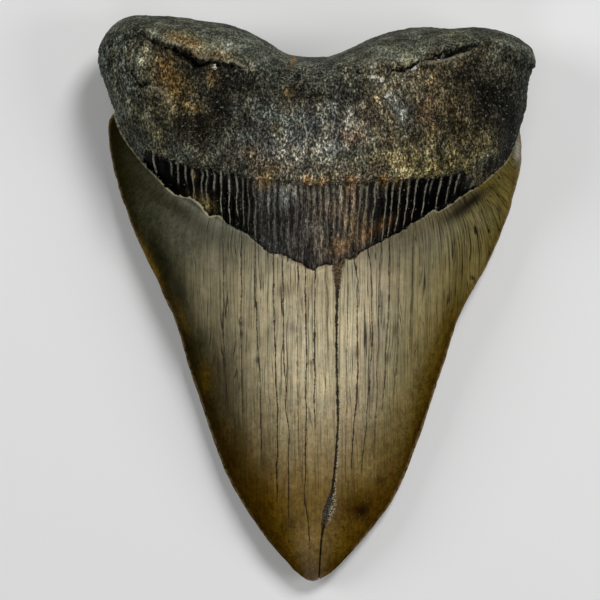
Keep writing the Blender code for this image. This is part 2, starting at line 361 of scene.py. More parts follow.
@dataclass
class Outline:
    """The tooth seen from above: its border, and the lines that its rows of faces follow.

    Lines run from left to right or from the tip upwards, in millimetres from the middle of the tooth's box.
    """

    tip: Line = Line(((-6, -68.8), (-3.6, -70.7), (-0.9, -71.8), (2.2, -70.7), (4.9, -68.8)))
    left_blade: Line = Line((
        (-6, -68.8), (-13.9, -59.6), (-19.4, -51.2), (-24.2, -41.3), (-30.8, -22.9), (-36.4, -4.6),
        (-45.1, 13.8), (-51.2, 31), (-53, 43.6), (-51.3, 47.6),
    ))
    right_blade: Line = Line((
        (4.9, -68.8), (13.2, -59.6), (19.6, -51.2), (23.9, -41.3), (30.3, -22.9), (36.7, -4.6), (46.2, 13.8),
        (51.7, 31.6), (52.4, 39.5), (52, 43.4),
    ))
    left_neck: Line = Line(((-51.3, 47.6), (-51.7, 49.3)))
    right_neck: Line = Line(((52, 43.4), (52.5, 45.4)))
    left_lobe: Line = Line(((-51.7, 49.3), (-53.1, 53.6), (-54.9, 58.6), (-55.1, 61.5), (-54.2, 65)))
    right_lobe: Line = Line(((52.5, 45.4), (53.6, 50.4), (54.2, 56), (55.1, 60.1), (54.4, 63.4)))
    base: Line = Line((
        (-54.2, 65), (-51.7, 68.8), (-48, 71.1), (-43, 71.7), (-33.6, 71.3), (-21.4, 69.5), (-13.5, 66),
        (-7, 62.2), (0, 61.3), (6, 62.3), (14, 66.2), (21.4, 68.3), (27.5, 69), (33.6, 68.4), (39.7, 68.8),
        (45.8, 68), (51.4, 65.9), (54.4, 63.4),
    ))
    enamel_edge: Line = Line((
        (-51.3, 47.6), (-48.9, 42), (-44.1, 35.1), (-36.9, 28.2), (-27.4, 21.3), (-18, 17.2), (-10.2, 11.4),
        (-0.7, 7.5), (7.4, 10.7), (17.6, 15.8), (30, 23), (41.8, 29.6), (48.5, 35.6), (52, 43.4),
    ))
    enamel_border: Line = Line((
        (-51.3, 47.6), (-48.9, 42), (-44.1, 35.1), (-39.5, 30.3), (-37.7, 28.3), (-35.7, 26.7), (-33.1, 26),
        (-31.6, 25.7), (-29, 23.7), (-28, 22.2), (-26.6, 21), (-24.7, 21.4), (-22.7, 19.4), (-19.4, 17.6),
        (-17.6, 16.8), (-16.3, 15.5), (-13.8, 13.5), (-11.5, 11.6), (-9.2, 11.5), (-6.6, 10.4), (-4.1, 9.2),
        (-0.8, 7.4), (1.5, 8.7), (3.6, 8.8), (5.2, 9.2), (6.9, 10.2), (9.4, 10.4), (11.5, 12.2), (14.8, 13.8),
        (18.6, 16), (22.7, 18.1), (23.9, 19.4), (26.7, 20.6), (29.3, 22.7), (30.6, 22.4), (33.4, 23.9),
        (37.5, 26.8), (41.8, 29.4), (45.5, 32.6), (48.5, 35.6), (52, 43.4),
    ))
    outer_enamel_edge: Line = Line((
        (-51.3, 47.6), (-38, 42), (-18, 36), (0, 33.5), (18, 35.5), (38, 40), (52, 43.4),
    ))
    band_top: Line = Line((
        (-51.7, 49.3), (-46.5, 42.3), (-39.7, 36.4), (-29.5, 33.1), (-12, 29.9), (2, 29), (18, 29.9),
        (34, 31.7), (43, 35.4), (52.5, 45.4),
    ))
    tip_distance: float = 71.8
    crowding: tuple[float, ...] = (0.0, 0.2, 0.35, 0.3)
    easing: tuple[float, ...] = (0.25, 0.0, 0.5)

    def spots(self, across: Array, upwards: Array, face: Array, rows: tuple[int, ...]) -> Spots:
        """Lays the points of a flat sheet out on the tooth.

        Args:
            across: Each point's share of its row, from 0 at the left to 1.
            upwards: Each point's share of its column, from 0 at the tip to 1.
            face: 1 on the inner face, -1 on the outer one, 0 on the border.
            rows: Rows of faces over the blade, the band and the root.

        Returns:
            The points' places, with no height yet.
        """
        keys = (self.tip, self.enamel_edge, self.band_top, self.base)
        sides = (
            (self.left_blade, self.right_blade),
            (self.left_neck, self.right_neck),
            (self.left_lobe, self.right_lobe),
        )
        ends = np.cumsum([0, *rows])
        row = upwards * ends[-1]
        place = np.zeros((len(row), 3))
        for zone, (left, right) in enumerate(sides):
            inside = (row >= ends[zone] - NEAR) & (row <= ends[zone + 1] + NEAR)
            climb = np.clip((row[inside] - ends[zone]) / rows[zone], 0, 1)
            ease = self.easing[zone]
            climb = (1 - ease) * climb + ease * np.sin(np.pi * climb / 2)
            share = across[inside]
            low = self.bow(keys[zone], crowd(share, self.crowding[zone]))
            high = self.bow(keys[zone + 1], crowd(share, self.crowding[zone + 1]))
            crosswise = crowd(share, self.crowding[zone] * (1 - climb) + self.crowding[zone + 1] * climb)
            start, end, climb = left.at(climb), right.at(climb), climb[:, None]
            place[inside, :2] = start + (end - start) * crosswise[:, None] + (1 - climb) * low + climb * high
            place[inside, 2] = 2 * crosswise - 1
        tip = self.tip.at(across)
        base = self.base.at(crowd(across, self.crowding[-1]))
        x, y, side = place.T
        return Spots(
            x, y, np.clip(side, -1, 1),
            np.hypot(x - tip[:, 0], y - tip[:, 1]),
            np.hypot(x - base[:, 0], y - base[:, 1]),
            face,
        )

    @staticmethod
    def bow(line: Line, share: Array) -> Array:
        """How far a line departs from the straight line between its ends."""
        path = line.drawn()
        return line.at(share) - (path[0] + (path[-1] - path[0]) * share[:, None])

    def over_enamel(self, spots: Spots) -> Array:
        """How far each point is past the enamel's edge, towards the root, and below 0 on the enamel."""
        inner = self.enamel_border.past(spots.x, spots.y)
        return np.where(spots.inner, inner, self.outer_enamel_edge.past(spots.x, spots.y))

    def over_band(self, spots: Spots) -> Array:
        """How far each point is past the top of the band, which the outer face doesn't have."""
        inner = self.band_top.past(spots.x, spots.y)
        return np.where(spots.inner, inner, self.outer_enamel_edge.past(spots.x, spots.y))

    def from_edge(self, spots: Spots) -> Array:
        """How far each point is from the blade's cutting edges."""
        left, right = (edge.distance(spots.x, spots.y) for edge in (self.left_blade, self.right_blade))
        return np.minimum(left, right)


@dataclass
class Form:
    """The tooth's heights over the surface that it lies on, in millimetres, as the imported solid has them."""

    rim: Line = Line((
        (0, 3.6), (25, 3.3), (60, 3.7), (95, 4.8), (112, 6.6), (122, 9.2), (131, 11.6), (144, 12.4),
    ))
    crest: Line = Line((
        (0, 5.6), (5, 8), (15, 11.6), (35, 16.4), (60, 20.4), (80, 23), (100, 25.2), (125, 27),
    ))
    floor: Line = Line((
        (0, 2), (10, 1), (30, -0.2), (60, -0.6), (105, -0.6), (120, -0.2), (130, 1.2), (144, 3),
    ))
    lobe_height: float = 24.2
    boss_height: float = 6.6
    boss: Point = (0.0, 41.0)
    boss_spread: Point = (36.0, 15.0)
    root_fade: Point = (-13.0, 7.0)
    tip_round: float = 5.0
    base_round: float = 10.0
    enamel_step: float = 0.9
    enamel_slope: float = 7.0
    root_step: float = 0.9
    root_slope: float = 5.0
    outer_step: float = 0.7
    outer_slope: float = 9.0
    ledge_gap: float = 0.3
    ledge_fade: Point = (0.25, 6.0)
    blade_section: Point = (1.9, 1.2)
    root_section: Point = (5.0, 0.5)
    outer_blade_section: Point = (2.2, 1.0)
    outer_root_section: Point = (4.0, 0.6)
    valley: float = 0.45
    valley_place: float = -6.0
    valley_width: float = 2.6
    valley_fade: Point = (20.0, 34.0)

    @staticmethod
    def section(side: Array, root: Array, of_blade: Point, of_root: Point) -> Array:
        """How high each point is in its cross-section.

        Args:
            side: Distance from the middle, as a share of the half width.
            root: How much each point belongs to the root.
            of_blade: The two powers that shape the blade's section.
            of_root: The two powers that shape the root's section.

        Returns:
            Shares, 0 at the rim and 1 on the crest.
        """
        blade, lobes = ((1 - side**power) ** bulge for power, bulge in (of_blade, of_root))
        return blade * (1 - root) + lobes * root

    def ledge(self, past: Array, step: float, slope: float) -> Array:
        """A ledge that stands up just past a line and slopes away behind it."""
        return np.where(past > self.ledge_gap, step * bell(past - self.ledge_gap, slope), 0)

    def heights(self, spots: Spots, outline: Outline) -> Array:
        """The smooth height of every point.

        Args:
            spots: The points' places.
            outline: The tooth's lines.

        Returns:
            Heights in millimetres.
        """
        distance = spots.y + outline.tip_distance
        rim = self.rim.reading(distance)
        border = quarter_round(spots.from_tip, self.tip_round)
        border = border * quarter_round(spots.from_base, self.base_round)
        side = np.abs(spots.side)
        inwards = rise(0.0, self.ledge_fade[0], 1 - side) * rise(0, self.ledge_fade[1], spots.from_base)

        over_band = spots.y - outline.band_top.reading(spots.x)
        over_enamel = spots.y - outline.enamel_edge.reading(spots.x)
        root = rise(*self.root_fade, over_band)
        boss_x = (spots.x - self.boss[0]) / self.boss_spread[0]
        boss_y = (spots.y - self.boss[1]) / self.boss_spread[1]
        root_crest = self.lobe_height + self.boss_height * bell(np.hypot(boss_x, boss_y), 1)
        crest = self.crest.reading(distance) * (1 - root) + root_crest * root
        section = self.section(side, root, self.blade_section, self.root_section)
        ledge = self.ledge(-over_enamel, self.enamel_step, self.enamel_slope)
        ledge = ledge + self.ledge(over_band, self.root_step, self.root_slope)
        valley = self.valley * bell(over_enamel - self.valley_place, self.valley_width)
        ledge = ledge - valley * rise(*self.valley_fade, spots.x)
        inner = rim + (crest - rim) * section * border + ledge * inwards

        over_enamel = spots.y - outline.outer_enamel_edge.reading(spots.x)
        root = rise(*self.root_fade, over_enamel)
        section = self.section(side, root, self.outer_blade_section, self.outer_root_section)
        ledge = self.ledge(over_enamel, self.outer_step, self.outer_slope)
        outer = rim - (rim - self.floor.reading(distance)) * section * border + ledge * inwards
        return np.where(spots.face > 0, inner, np.where(spots.face < 0, np.maximum(outer, 0), rim))


@dataclass(frozen=True)
class Hairline:
    """A fine crack that runs along the enamel: places (across, along), and how dark it is."""

    places: tuple[Point, ...]
    strength: float

    def across(self, y: Array) -> Array:
        """Where the crack is across the tooth at each place along it."""
        knots = np.array(self.places[::-1], float)
        return np.interp(y, knots[:, 1], knots[:, 0])

    def shown(self, y: Array) -> Array:
        """How strongly the crack shows at each place along the tooth."""
        return self.strength * rise(self.places[-1][1] - 3, self.places[-1][1] + 3, y)


@dataclass
class Blade:
    """The enamel crown: fibres that fan out at the shoulders, long cracks and a worn cutting edge."""

    fan_from: float = 8.0
    fan_to: float = 42.0
    fan_rate: float = 0.034
    hairlines: tuple[Hairline, ...] = (
        Hairline(((-23.4, 9.7), (-23.4, 0), (-23.2, -17.8), (-22.4, -28)), 0.7),
        Hairline(((-18.8, 7.1), (-18.8, -8.4), (-18.6, -30.6)), 0.75),
        Hairline(((-15.5, 3.8), (-15.3, 0), (-14.8, -10.2), (-14.3, -17.8), (-14, -40.8)), 0.9),
        Hairline(((-10.7, 9.7), (-10.4, -7.6), (-10.2, -20.4), (-9.7, -28), (-9.9, -50.9)), 0.95),
        Hairline(((-8.4, 0), (-8.4, -7.6), (-7.6, -28), (-6.9, -33.1), (-7.1, -45.8), (-6.9, -56)), 0.95),
        Hairline(((-4.8, 5.1), (-4.8, -7.6), (-4.6, -25.5), (-4.3, -40.8)), 0.65),
        Hairline(((-2.8, 8.2), (-2.5, -7.6), (-2.5, -25.5), (-2.8, -50.9), (-2.3, -56), (-1.5, -63.2)), 1.0),
        Hairline(((-0.3, 7.6), (-0.5, 0), (-0.5, -17.8), (-0.3, -33.1)), 0.95),
        Hairline(((2.3, 0), (2.3, -15.3), (2, -30.6)), 0.4),
        Hairline(((7.9, 9.7), (7.9, -7.6), (7.6, -30.6), (7.4, -45.8)), 0.6),
        Hairline(((9.4, 10.7), (10.4, 5.1), (10.4, -15.3), (10.2, -25.5), (9.4, -33.1), (8.9, -43.3)), 0.95),
        Hairline(((13, 12.7), (13.8, 7.6), (14.3, -7.6), (13.8, -17.8), (12.7, -33.1), (11.5, -43.3)), 0.9),
        Hairline(((16.3, 12.7), (15.8, 0), (15.5, -12.7), (15.3, -25.5), (14.8, -36)), 0.65),
        Hairline(((18.3, 2.5), (18.1, -5.1), (17.6, -12.7), (17.3, -20.4), (16.6, -28)), 0.85),
        Hairline(((21.1, 14), (20.9, 0), (20.4, -12.7), (19.6, -25.5)), 0.6),
        Hairline(((24.5, 15.3), (24.2, 0), (23.4, -15.3)), 0.5),
    )
    main_crack: Line = Line((
        (0.8, -71), (1, -66.2), (1.3, -61.1), (1.9, -57.3), (2.9, -53.2), (4.2, -48.4), (5.1, -39.5),
        (5.6, -30.6), (5.3, -20.4), (5.1, -12.7), (5.1, -5.1), (5.3, 2.5), (5.4, 11),
    ))
    main_width: Line = Line((
        (-71, 0.18), (-62, 0.2), (-58.5, 0.35), (-56, 0.85), (-53, 1), (-50.5, 0.8), (-47.5, 0.42),
        (-40, 0.34), (-25, 0.32), (-10, 0.3), (0, 0.34), (1.7, 0.42), (4.8, 0.85), (7, 1.2), (9.1, 1.55),
        (11, 1.9),
    ))
    main_depth: float = 0.55
    fibre_swell: float = 0.07
    wave_height: float = 0.16
    hairline_gap: float = 5.0
    hairline_depth: float = 0.16
    hairline_half_width: float = 0.3
    lip_height: float = 0.22
    wear: float = 0.16
    polish: float = 0.2

    def fibre(self, spots: Spots) -> Array:
        """Which enamel fibre each point is on.

        Args:
            spots: The points' places.

        Returns:
            The fibres' places across the middle of the blade, in millimetres.
        """
        y = np.linspace(self.fan_from, self.fan_to + 20, 200)
        slope = self.fan_rate * rise(self.fan_from, self.fan_to, y)
        fan = np.concatenate([[0], np.cumsum((slope[1:] + slope[:-1]) / 2 * np.diff(y))])
        return spots.x * np.exp(np.interp(spots.y, y, fan))

    def hairline_fields(self, spots: Spots) -> Array:
        """Fields that hold the hairlines.

        Args:
            spots: The points' places.

        Returns:
            Rows of three: a number that is whole on each line, the millimetres that one step of it spans,
            and how strongly the nearest line shows.
        """
        lines = np.array([line.across(spots.y) for line in self.hairlines])
        shown = np.array([line.shown(spots.y) for line in self.hairlines])
        lines = np.vstack([lines[:1] - self.hairline_gap, lines, lines[-1:] + self.hairline_gap])
        shown = np.vstack([0 * shown[:1], shown, 0 * shown[:1]])
        fields = np.zeros((len(spots.x), 3))
        fields[:, 1] = self.hairline_gap
        for step in range(len(lines) - 1):
            span = lines[step + 1] - lines[step]
            share = (spots.x - lines[step]) / span
            inside = (share >= 0) & (share < 1)
            fields[inside, 0] = step + share[inside]
            fields[inside, 1] = span[inside]
            fields[inside, 2] = (shown[step] * (1 - share) + shown[step + 1] * share)[inside]
        fields[:, 2] *= spots.inner
        return fields

    def main_crack_ratio(self, spots: Spots) -> Array:
        """How far each point is from the main crack, against the crack's half width there.

        Args:
            spots: The points' places.

        Returns:
            The ratios, below 0 on the crack's left.
        """
        away = spots.x - self.main_crack.crossing(spots.y)
        ratio = away / self.main_width.reading(spots.y)
        return np.where(spots.inner, np.clip(ratio, -20, 20), 20)

    def combed(self, spots: Spots) -> Array:
        """How plainly the fibres show: not on the tip or the lower edges, and most on the right shoulder.

        Args:
            spots: The points' places.

        Returns:
            0 where they are hidden, and 1 or more where they are plain.
        """
        lower = 1 - rise(-20, 0, spots.y)
        shown = rise(-0.78, -0.6, spots.side) * (1 - rise(0.6, 0.78, spots.side) * lower)
        left_shoulder = rise(4, 14, spots.y) * (1 - rise(-34, -26, spots.x))
        right_shoulder = rise(4, 14, spots.y) * rise(26, 34, spots.x)
        upper = 0.5 + 0.5 * rise(-36, -8, spots.y)
        return shown * upper * rise(-60, -48, spots.y) * (1 - 0.7 * left_shoulder + 0.5 * right_shoulder)

    def sheen(self, spots: Spots) -> Array:
        """How glossy the enamel is: polished along the middle, dull at the worn sides and the tip."""
        inwards = 0.34 * (1 - rise(-50, -24, spots.y))
        return self.polish * (1 - rise(0.0, 0.35, np.abs(spots.side) - 0.42 + inwards))

    def pale_lip(self, spots: Spots) -> Array:
        """How pale the enamel's edge is: all of it on the left, some of it on the right."""
        return (1 - rise(-26, -22, spots.x) + 0.6 * rise(26, 30, spots.x)) * spots.inner

    def dust(self, spots: Spots) -> Array:
        """How much pale dust lies in the main crack: most near the tip, none in the funnel."""
        return rise(-58, -54, spots.y) * (1 - 0.5 * rise(-34, -26, spots.y) - 0.5 * rise(-12, -4, spots.y))

    def flecks(self, spots: Spots) -> Array:
        """How many pale flecks lie to the right of the main crack."""
        return bell(spots.x - 12.5, 5.0) * rise(-62, -50, spots.y) * (1 - rise(-10, 0, spots.y))

    def relief(self, spots: Spots, cast: Roughcast, over_enamel: Array) -> Array:
        """How far the enamel's fine surface stands out of the smooth form.

        Args:
            spots: The points' places.
            cast: The unevenness to use.
            over_enamel: Distance past the enamel's edge.

        Returns:
            Millimetres along the surface's normal.
        """
        fibre = self.fibre(spots)
        swell = cast.lumps(np.column_stack([fibre, spots.y * 0.03, spots.z * 0.05]), 2.4, 3, 0.6)
        relief = self.fibre_swell * swell
        relief += self.wave_height * cast.lumps(spots.place + 40, 13.0, 2)
        fields = self.hairline_fields(spots)
        away = np.abs(fields[:, 0] - np.round(fields[:, 0])) * fields[:, 1]
        relief -= self.hairline_depth * fields[:, 2] * bell(away, self.hairline_half_width)
        depth = self.main_depth * (1 - 0.6 * rise(0.5, 1.2, self.main_width.reading(spots.y)))
        relief -= depth * (1 - rise(0.5, 1.3, np.abs(self.main_crack_ratio(spots))))
        lip = self.lip_height * bell(over_enamel + 0.35, 0.45)
        lip = lip * (0.6 + 0.6 * cast.lumps(spots.place, 2.5, 1))
        return relief + lip * spots.inner

    def worn_edge(self, spots: Spots, outline: Outline, cast: Roughcast) -> Array:
        """How far the cutting edge is nicked and scalloped inwards.

        Args:
            spots: The points' places.
            outline: The tooth's lines.
            cast: The unevenness to use.

        Returns:
            Millimetres across, towards the middle.
        """
        near = bell(outline.from_edge(spots), 2.0) * rise(3, 9, spots.from_tip) * rise(0, 1.5, 48 - spots.y)
        rows = np.column_stack([np.sign(spots.x) * 9, spots.y, 0 * spots.y])
        scallops = np.abs(cast.lumps(rows, 3.4, 2, 0.6))
        nicks = np.clip(cast.lumps(rows + 30, 7.0, 1) - 0.45, 0, 1)
        return -np.sign(spots.side) * near * self.wear * (scallops + 1.4 * nicks)


@dataclass(frozen=True)
class Rib:
    """A thin rib that hangs from the root's lower edge over the dark band: where, how long and how pale."""

    x: float
    length: float
    strength: float


@dataclass
class Band:
    """The dark band between root and enamel, with its fringe of fine ribs."""

    ribs: tuple[Rib, ...] = (
        Rib(-44, 3, 0.3), Rib(-41, 4.6, 1), Rib(-36.7, 3.6, 0.6), Rib(-34.9, 5, 0.7), Rib(-32.9, 4.4, 0.7),
        Rib(-31.2, 7.8, 0.8), Rib(-28.9, 6.2, 0.7), Rib(-27.6, 7.6, 0.9), Rib(-25.7, 4.6, 0.8),
        Rib(-24, 11.4, 1), Rib(-22.1, 13, 1), Rib(-20.2, 9, 0.9), Rib(-18.6, 11, 0.45), Rib(-17.2, 12, 0.4),
        Rib(-15.6, 13, 0.45), Rib(-14, 10, 0.3), Rib(-12.2, 12, 0.35), Rib(-10.6, 14, 0.3), Rib(-9, 12, 0.35),
        Rib(-7.2, 16, 0.45), Rib(-5.5, 13, 0.25), Rib(-3.9, 15, 0.3), Rib(-2.2, 13, 0.3), Rib(-0.6, 16, 0.35),
        Rib(1, 14, 0.3), Rib(2.7, 17, 0.35), Rib(4.4, 13, 0.3), Rib(6.1, 12, 0.35), Rib(7.8, 14, 0.35),
        Rib(9.5, 10, 0.4), Rib(11.3, 14, 0.5), Rib(12.9, 15, 0.7), Rib(15, 14, 0.7), Rib(18, 13.4, 0.8),
        Rib(19.6, 12.8, 0.8), Rib(21.5, 11.4, 0.85), Rib(23.5, 10.6, 0.85), Rib(25.5, 9.6, 0.9),
        Rib(28.3, 8.6, 0.85), Rib(29.6, 4, 0.4), Rib(31.7, 8, 0.85), Rib(34.2, 6.4, 0.75), Rib(36.3, 5, 0.7),
        Rib(38.6, 3, 0.4), Rib(40.1, 4.4, 0.6), Rib(42, 3.6, 0.6), Rib(44.1, 3.4, 0.4),
    )
    lean_left: float = 0.001
    lean_right: float = 0.0065
    pocket_depth: float = 0.35
    rib_height: float = 0.22
    rib_half_width: float = 0.17
    rib_bend: float = 0.22
    streak_height: float = 0.13

    def rib_fields(self, spots: Spots, over_band: Array, cast: Roughcast) -> Array:
        """Fields that hold the ribs.

        Args:
            spots: The points' places.
            over_band: Distance past the top of the band, towards the base.
            cast: The unevenness that bends the ribs.

        Returns:
            Rows of three: a number that is whole on each rib, the millimetres that one step of it spans, and
            how strongly the nearest rib shows.
        """
        depth = np.clip(-over_band, 0, 30)
        lean = np.where(spots.x > 0, self.lean_right, self.lean_left)
        bent = self.rib_bend * cast.lumps(np.column_stack([spots.x, spots.y, 0 * spots.x]), 4.0, 2)
        root_x = spots.x * (1 + lean * depth) + bent * rise(0, 2, depth)
        ribs = np.array([rib.x for rib in self.ribs])
        number = np.interp(root_x, ribs, np.arange(len(ribs)))
        nearest = np.clip(np.round(number).astype(int), 0, len(ribs) - 1)
        low = np.clip(np.floor(number).astype(int), 0, len(ribs) - 2)
        length = np.array([rib.length for rib in self.ribs])[nearest] * 1.15
        strength = np.array([rib.strength for rib in self.ribs])[nearest]
        strength = strength * (1 - rise(-1.6, 0.0, depth - length)) * spots.inner
        strength = strength * rise(-0.8, 0.2, -over_band) * (np.abs(spots.x) < 46)
        return np.column_stack([number, np.diff(ribs)[low], strength])

    def pocket(self, spots: Spots) -> Array:
        """How much each point belongs to the two glossy black stretches of the band, which are sunk and also
        darkened with painted shade.
        """
        left = rise(-49, -43, spots.x) * (1 - rise(-19, -12, spots.x))
        return left + rise(12.5, 18, spots.x) * (1 - rise(36, 40, spots.x))

    def relief(self, spots: Spots, cast: Roughcast, over_band: Array) -> Array:
        """How far the band's fine surface stands out of the smooth form.

        Args:
            spots: The points' places.
            cast: The unevenness to use.
            over_band: Distance past the top of the band, towards the base.

        Returns:
            Millimetres along the surface's normal.
        """
        fields = self.rib_fields(spots, over_band, cast)
        away = np.abs(fields[:, 0] - np.round(fields[:, 0])) * fields[:, 1]
        relief = self.rib_height * fields[:, 2] * bell(away, self.rib_half_width * 1.6)
        relief -= self.pocket_depth * self.pocket(spots) * rise(0.0, 0.8, -over_band)
        streaks = cast.lumps(np.column_stack([spots.x, spots.y * 0.12, spots.z * 0.1]), 1.1, 2, 0.7)
        return relief + self.streak_height * streaks * (1 - 0.7 * self.pocket(spots))


@dataclass
class Root:
    """The two-lobed root: granular bone, a smoother skin along its base, open cracks and pits."""

    skin_edge: Line = Line((
        (-55.2, 62.2), (-49.7, 65.6), (-44.2, 67.4), (-42.2, 65.2), (-38, 63.2), (-32.9, 62.4), (-30.6, 60.4),
        (-27.6, 59.6), (-24.2, 59.2), (-17.6, 57.9), (-7.8, 56.4), (-0.1, 58.2), (7.2, 57.7), (12.2, 56.9),
        (18.4, 57.7), (23.5, 58), (27.3, 59.6), (32.3, 61.7), (37.3, 62.7), (40.6, 63.5), (44.8, 63.2),
        (48.6, 61.4), (55.1, 58.7),
    ))
    skin_step: float = 0.6
    cracks: tuple[Crack, ...] = (
        Crack(Line(((-44.2, 67.1), (-42.2, 65.7), (-39.6, 64.5), (-37.6, 63))), 0.8, 0.45),
        Crack(Line(((-38.8, 63.6), (-35.7, 62.4), (-32.6, 61), (-29.9, 59.4), (-28, 58.9))), 1.8, 0.95),
        Crack(Line(((-29.6, 59.4), (-26.6, 59.7), (-24.2, 59.4), (-21.6, 59), (-18.2, 58.1))), 1.3, 0.5),
        Crack(Line(((-48.3, 57.3), (-46.7, 56.3), (-44.9, 54.9), (-43.5, 54.3), (-42, 54.2))), 1, 0.45, 1.2),
        Crack(Line(((17.7, 57.7), (20.4, 57.9), (23.1, 58), (24.8, 59.1), (27.9, 60.2))), 1.1, 0.5),
        Crack(Line(((26.1, 59.5), (29.5, 60.7), (32.6, 61.4), (36, 62.6))), 1.2, 0.45),
        Crack(Line(((34.4, 61.9), (38, 63.4), (40.9, 64.2))), 0.8, 0.5),
        Crack(Line(((2.4, 58.2), (7.2, 57.7), (10.5, 57.1), (12.9, 56.7))), 0.7, 0.34),
    )
    suture: Line = Line(((-6.5, 56.1), (-6.9, 50.1), (-6.9, 43.9), (-7.1, 37.6), (-7.1, 30.1)))
    folds: tuple[Crack, ...] = (
        Crack(Line(((12.2, 56.6), (13.7, 51.2), (14.7, 45.3), (17.2, 37.4))), 0.55, 0.9, 6),
        Crack(Line(((19.1, 53.1), (20.6, 48.2), (23.6, 42.8), (25, 36.4))), 0.45, 0.9, 6),
        Crack(Line(((9.3, 56.1), (10.3, 50.2), (11.7, 44.3), (12.2, 39.4))), 0.35, 0.8, 5),
        Crack(Line(((-19.7, 49.2), (-14.8, 44.8), (-8.9, 47.7))), 0.4, 0.9, 5),
        Crack(Line(((25.5, 49.2), (30.4, 44.8), (36.4, 45.8))), 0.4, 1, 5),
        Crack(Line(((-30.6, 53.1), (-26.6, 47.7), (-27.6, 41.3))), 0.5, 1.2, 5),
    )
    pits: tuple[Dent, ...] = (
        Dent(-5.9, 52.2, 1.7, 1.1), Dent(-3.2, 52.8, 1.3, 0.8), Dent(-5, 55.9, 1, 0.9),
        Dent(-8.5, 50.8, 0.6, 0.9), Dent(-25.9, 46.8, 0.9, 3.2), Dent(45.2, 54.1, 0.9, 3.8),
        Dent(17.5, 51.4, 0.6, 1.8), Dent(-37.5, 44.3, 0.5, 2.6), Dent(32.4, 46.3, 0.6, 3),
        Dent(39.9, 42.5, 0.6, 0.9), Dent(24.3, 42.8, 0.5, 0.8), Dent(-33, 50.2, 0.5, 1.6),
        Dent(33, 40.8, 0.5, 0.7), Dent(-18.8, 37.9, 0.4, 1), Dent(-36, 56.6, 0.6, 4.5),
        Dent(-23.7, 49.7, 0.6, 4),
    )
    chips: tuple[Dent, ...] = (
        Dent(14.1, 55.9, 1, 0.5), Dent(16.3, 55.4, 1, 0.55), Dent(24.3, 58.3, 1.1, 0.6),
        Dent(30.4, 60.7, 0.9, 0.5), Dent(31.8, 61.2, 1, 0.45), Dent(17.8, 51.2, 1.1, 0.5),
        Dent(-25.5, 58.5, 0.8, 0.6),
    )
    pale_lips: tuple[Line, ...] = (
        Line(((-31, 61.3), (-27.6, 60.5), (-24.2, 60.2), (-20.7, 59.4), (-18, 58.4))),
        Line(((-38.3, 65), (-35.5, 64.3), (-32.9, 63.2))),
        Line(((-45.3, 55.1), (-43.6, 54.5), (-40.4, 53.3), (-37.7, 51.3), (-36.4, 48.7))),
        Line(((25.5, 58.9), (30.4, 59.9), (35.4, 61), (40.3, 63))),
    )
    lump_height: float = 0.5
    grain_height: float = 0.16
    crack_sway: Point = (0.35, 0.45)
    lip_half_width: float = 0.32
    suture_depth: float = 0.25
    suture_half_width: float = 0.3

    def chalk(self, spots: Spots) -> Array:
        """How much each point is chipped down to pale chalky bone.

        Args:
            spots: The points' places.

        Returns:
            0 on whole bone, and 1 or more in a chip.
        """
        chalk = np.zeros(len(spots.x))
        for chip in self.chips:
            away = np.hypot((spots.x - chip.x) / 1.3, spots.y - chip.y)
            chalk = np.maximum(chalk, 1.4 * chip.depth * bell(away, chip.half_width))
        return chalk * spots.inner

    def lips(self, spots: Spots) -> Array:
        """How much each point belongs to the worn pale lips of the cracks."""
        away = np.min([lip.distance(spots.x, spots.y) for lip in self.pale_lips], axis=0)
        return bell(away, self.lip_half_width) * spots.inner

    @staticmethod
    def ragged(spots: Spots, cast: Roughcast) -> tuple[Array, Array]:
        """How far the cracks sway at each point, and how uneven their width is."""
        return cast.lumps(spots.place, 2.2, 3, 0.6), cast.lumps(spots.place + 21, 4.0, 2, 0.6)

    def crack_ratios(self, spots: Spots, sway: Array, uneven: Array) -> list[tuple[Crack, Array]]:
        """Each crack with how far every point is from it, against its half width there."""
        x, y = spots.x + self.crack_sway[0] * sway, spots.y + self.crack_sway[1] * sway
        return [(crack, crack.ratio(x, y, uneven)) for crack in self.cracks]

    def crack_ratio(self, spots: Spots, cast: Roughcast) -> Array:
        """How far each point is from the nearest crack, against that crack's half width there.

        Args:
            spots: The points' places.
            cast: The unevenness that makes the cracks ragged.

        Returns:
            The ratios, 1 at a crack's sides.
        """
        ratios = [ratio for _, ratio in self.crack_ratios(spots, *self.ragged(spots, cast))]
        return np.where(spots.inner, np.min(ratios, axis=0), 20)

    def over_skin(self, spots: Spots, cast: Roughcast) -> Array:
        """How far each point is inside the smoother skin along the base.

        Args:
            spots: The points' places.
            cast: The unevenness that makes its edge ragged.

        Returns:
            Millimetres, below 0 on the bare bone.
        """
        sway = 0.5 * cast.lumps(spots.place + 9, 2.6, 3, 0.6)
        inner = spots.y + sway - self.skin_edge.reading(spots.x)
        return np.where(spots.inner, inner, 6 - spots.from_base + sway)

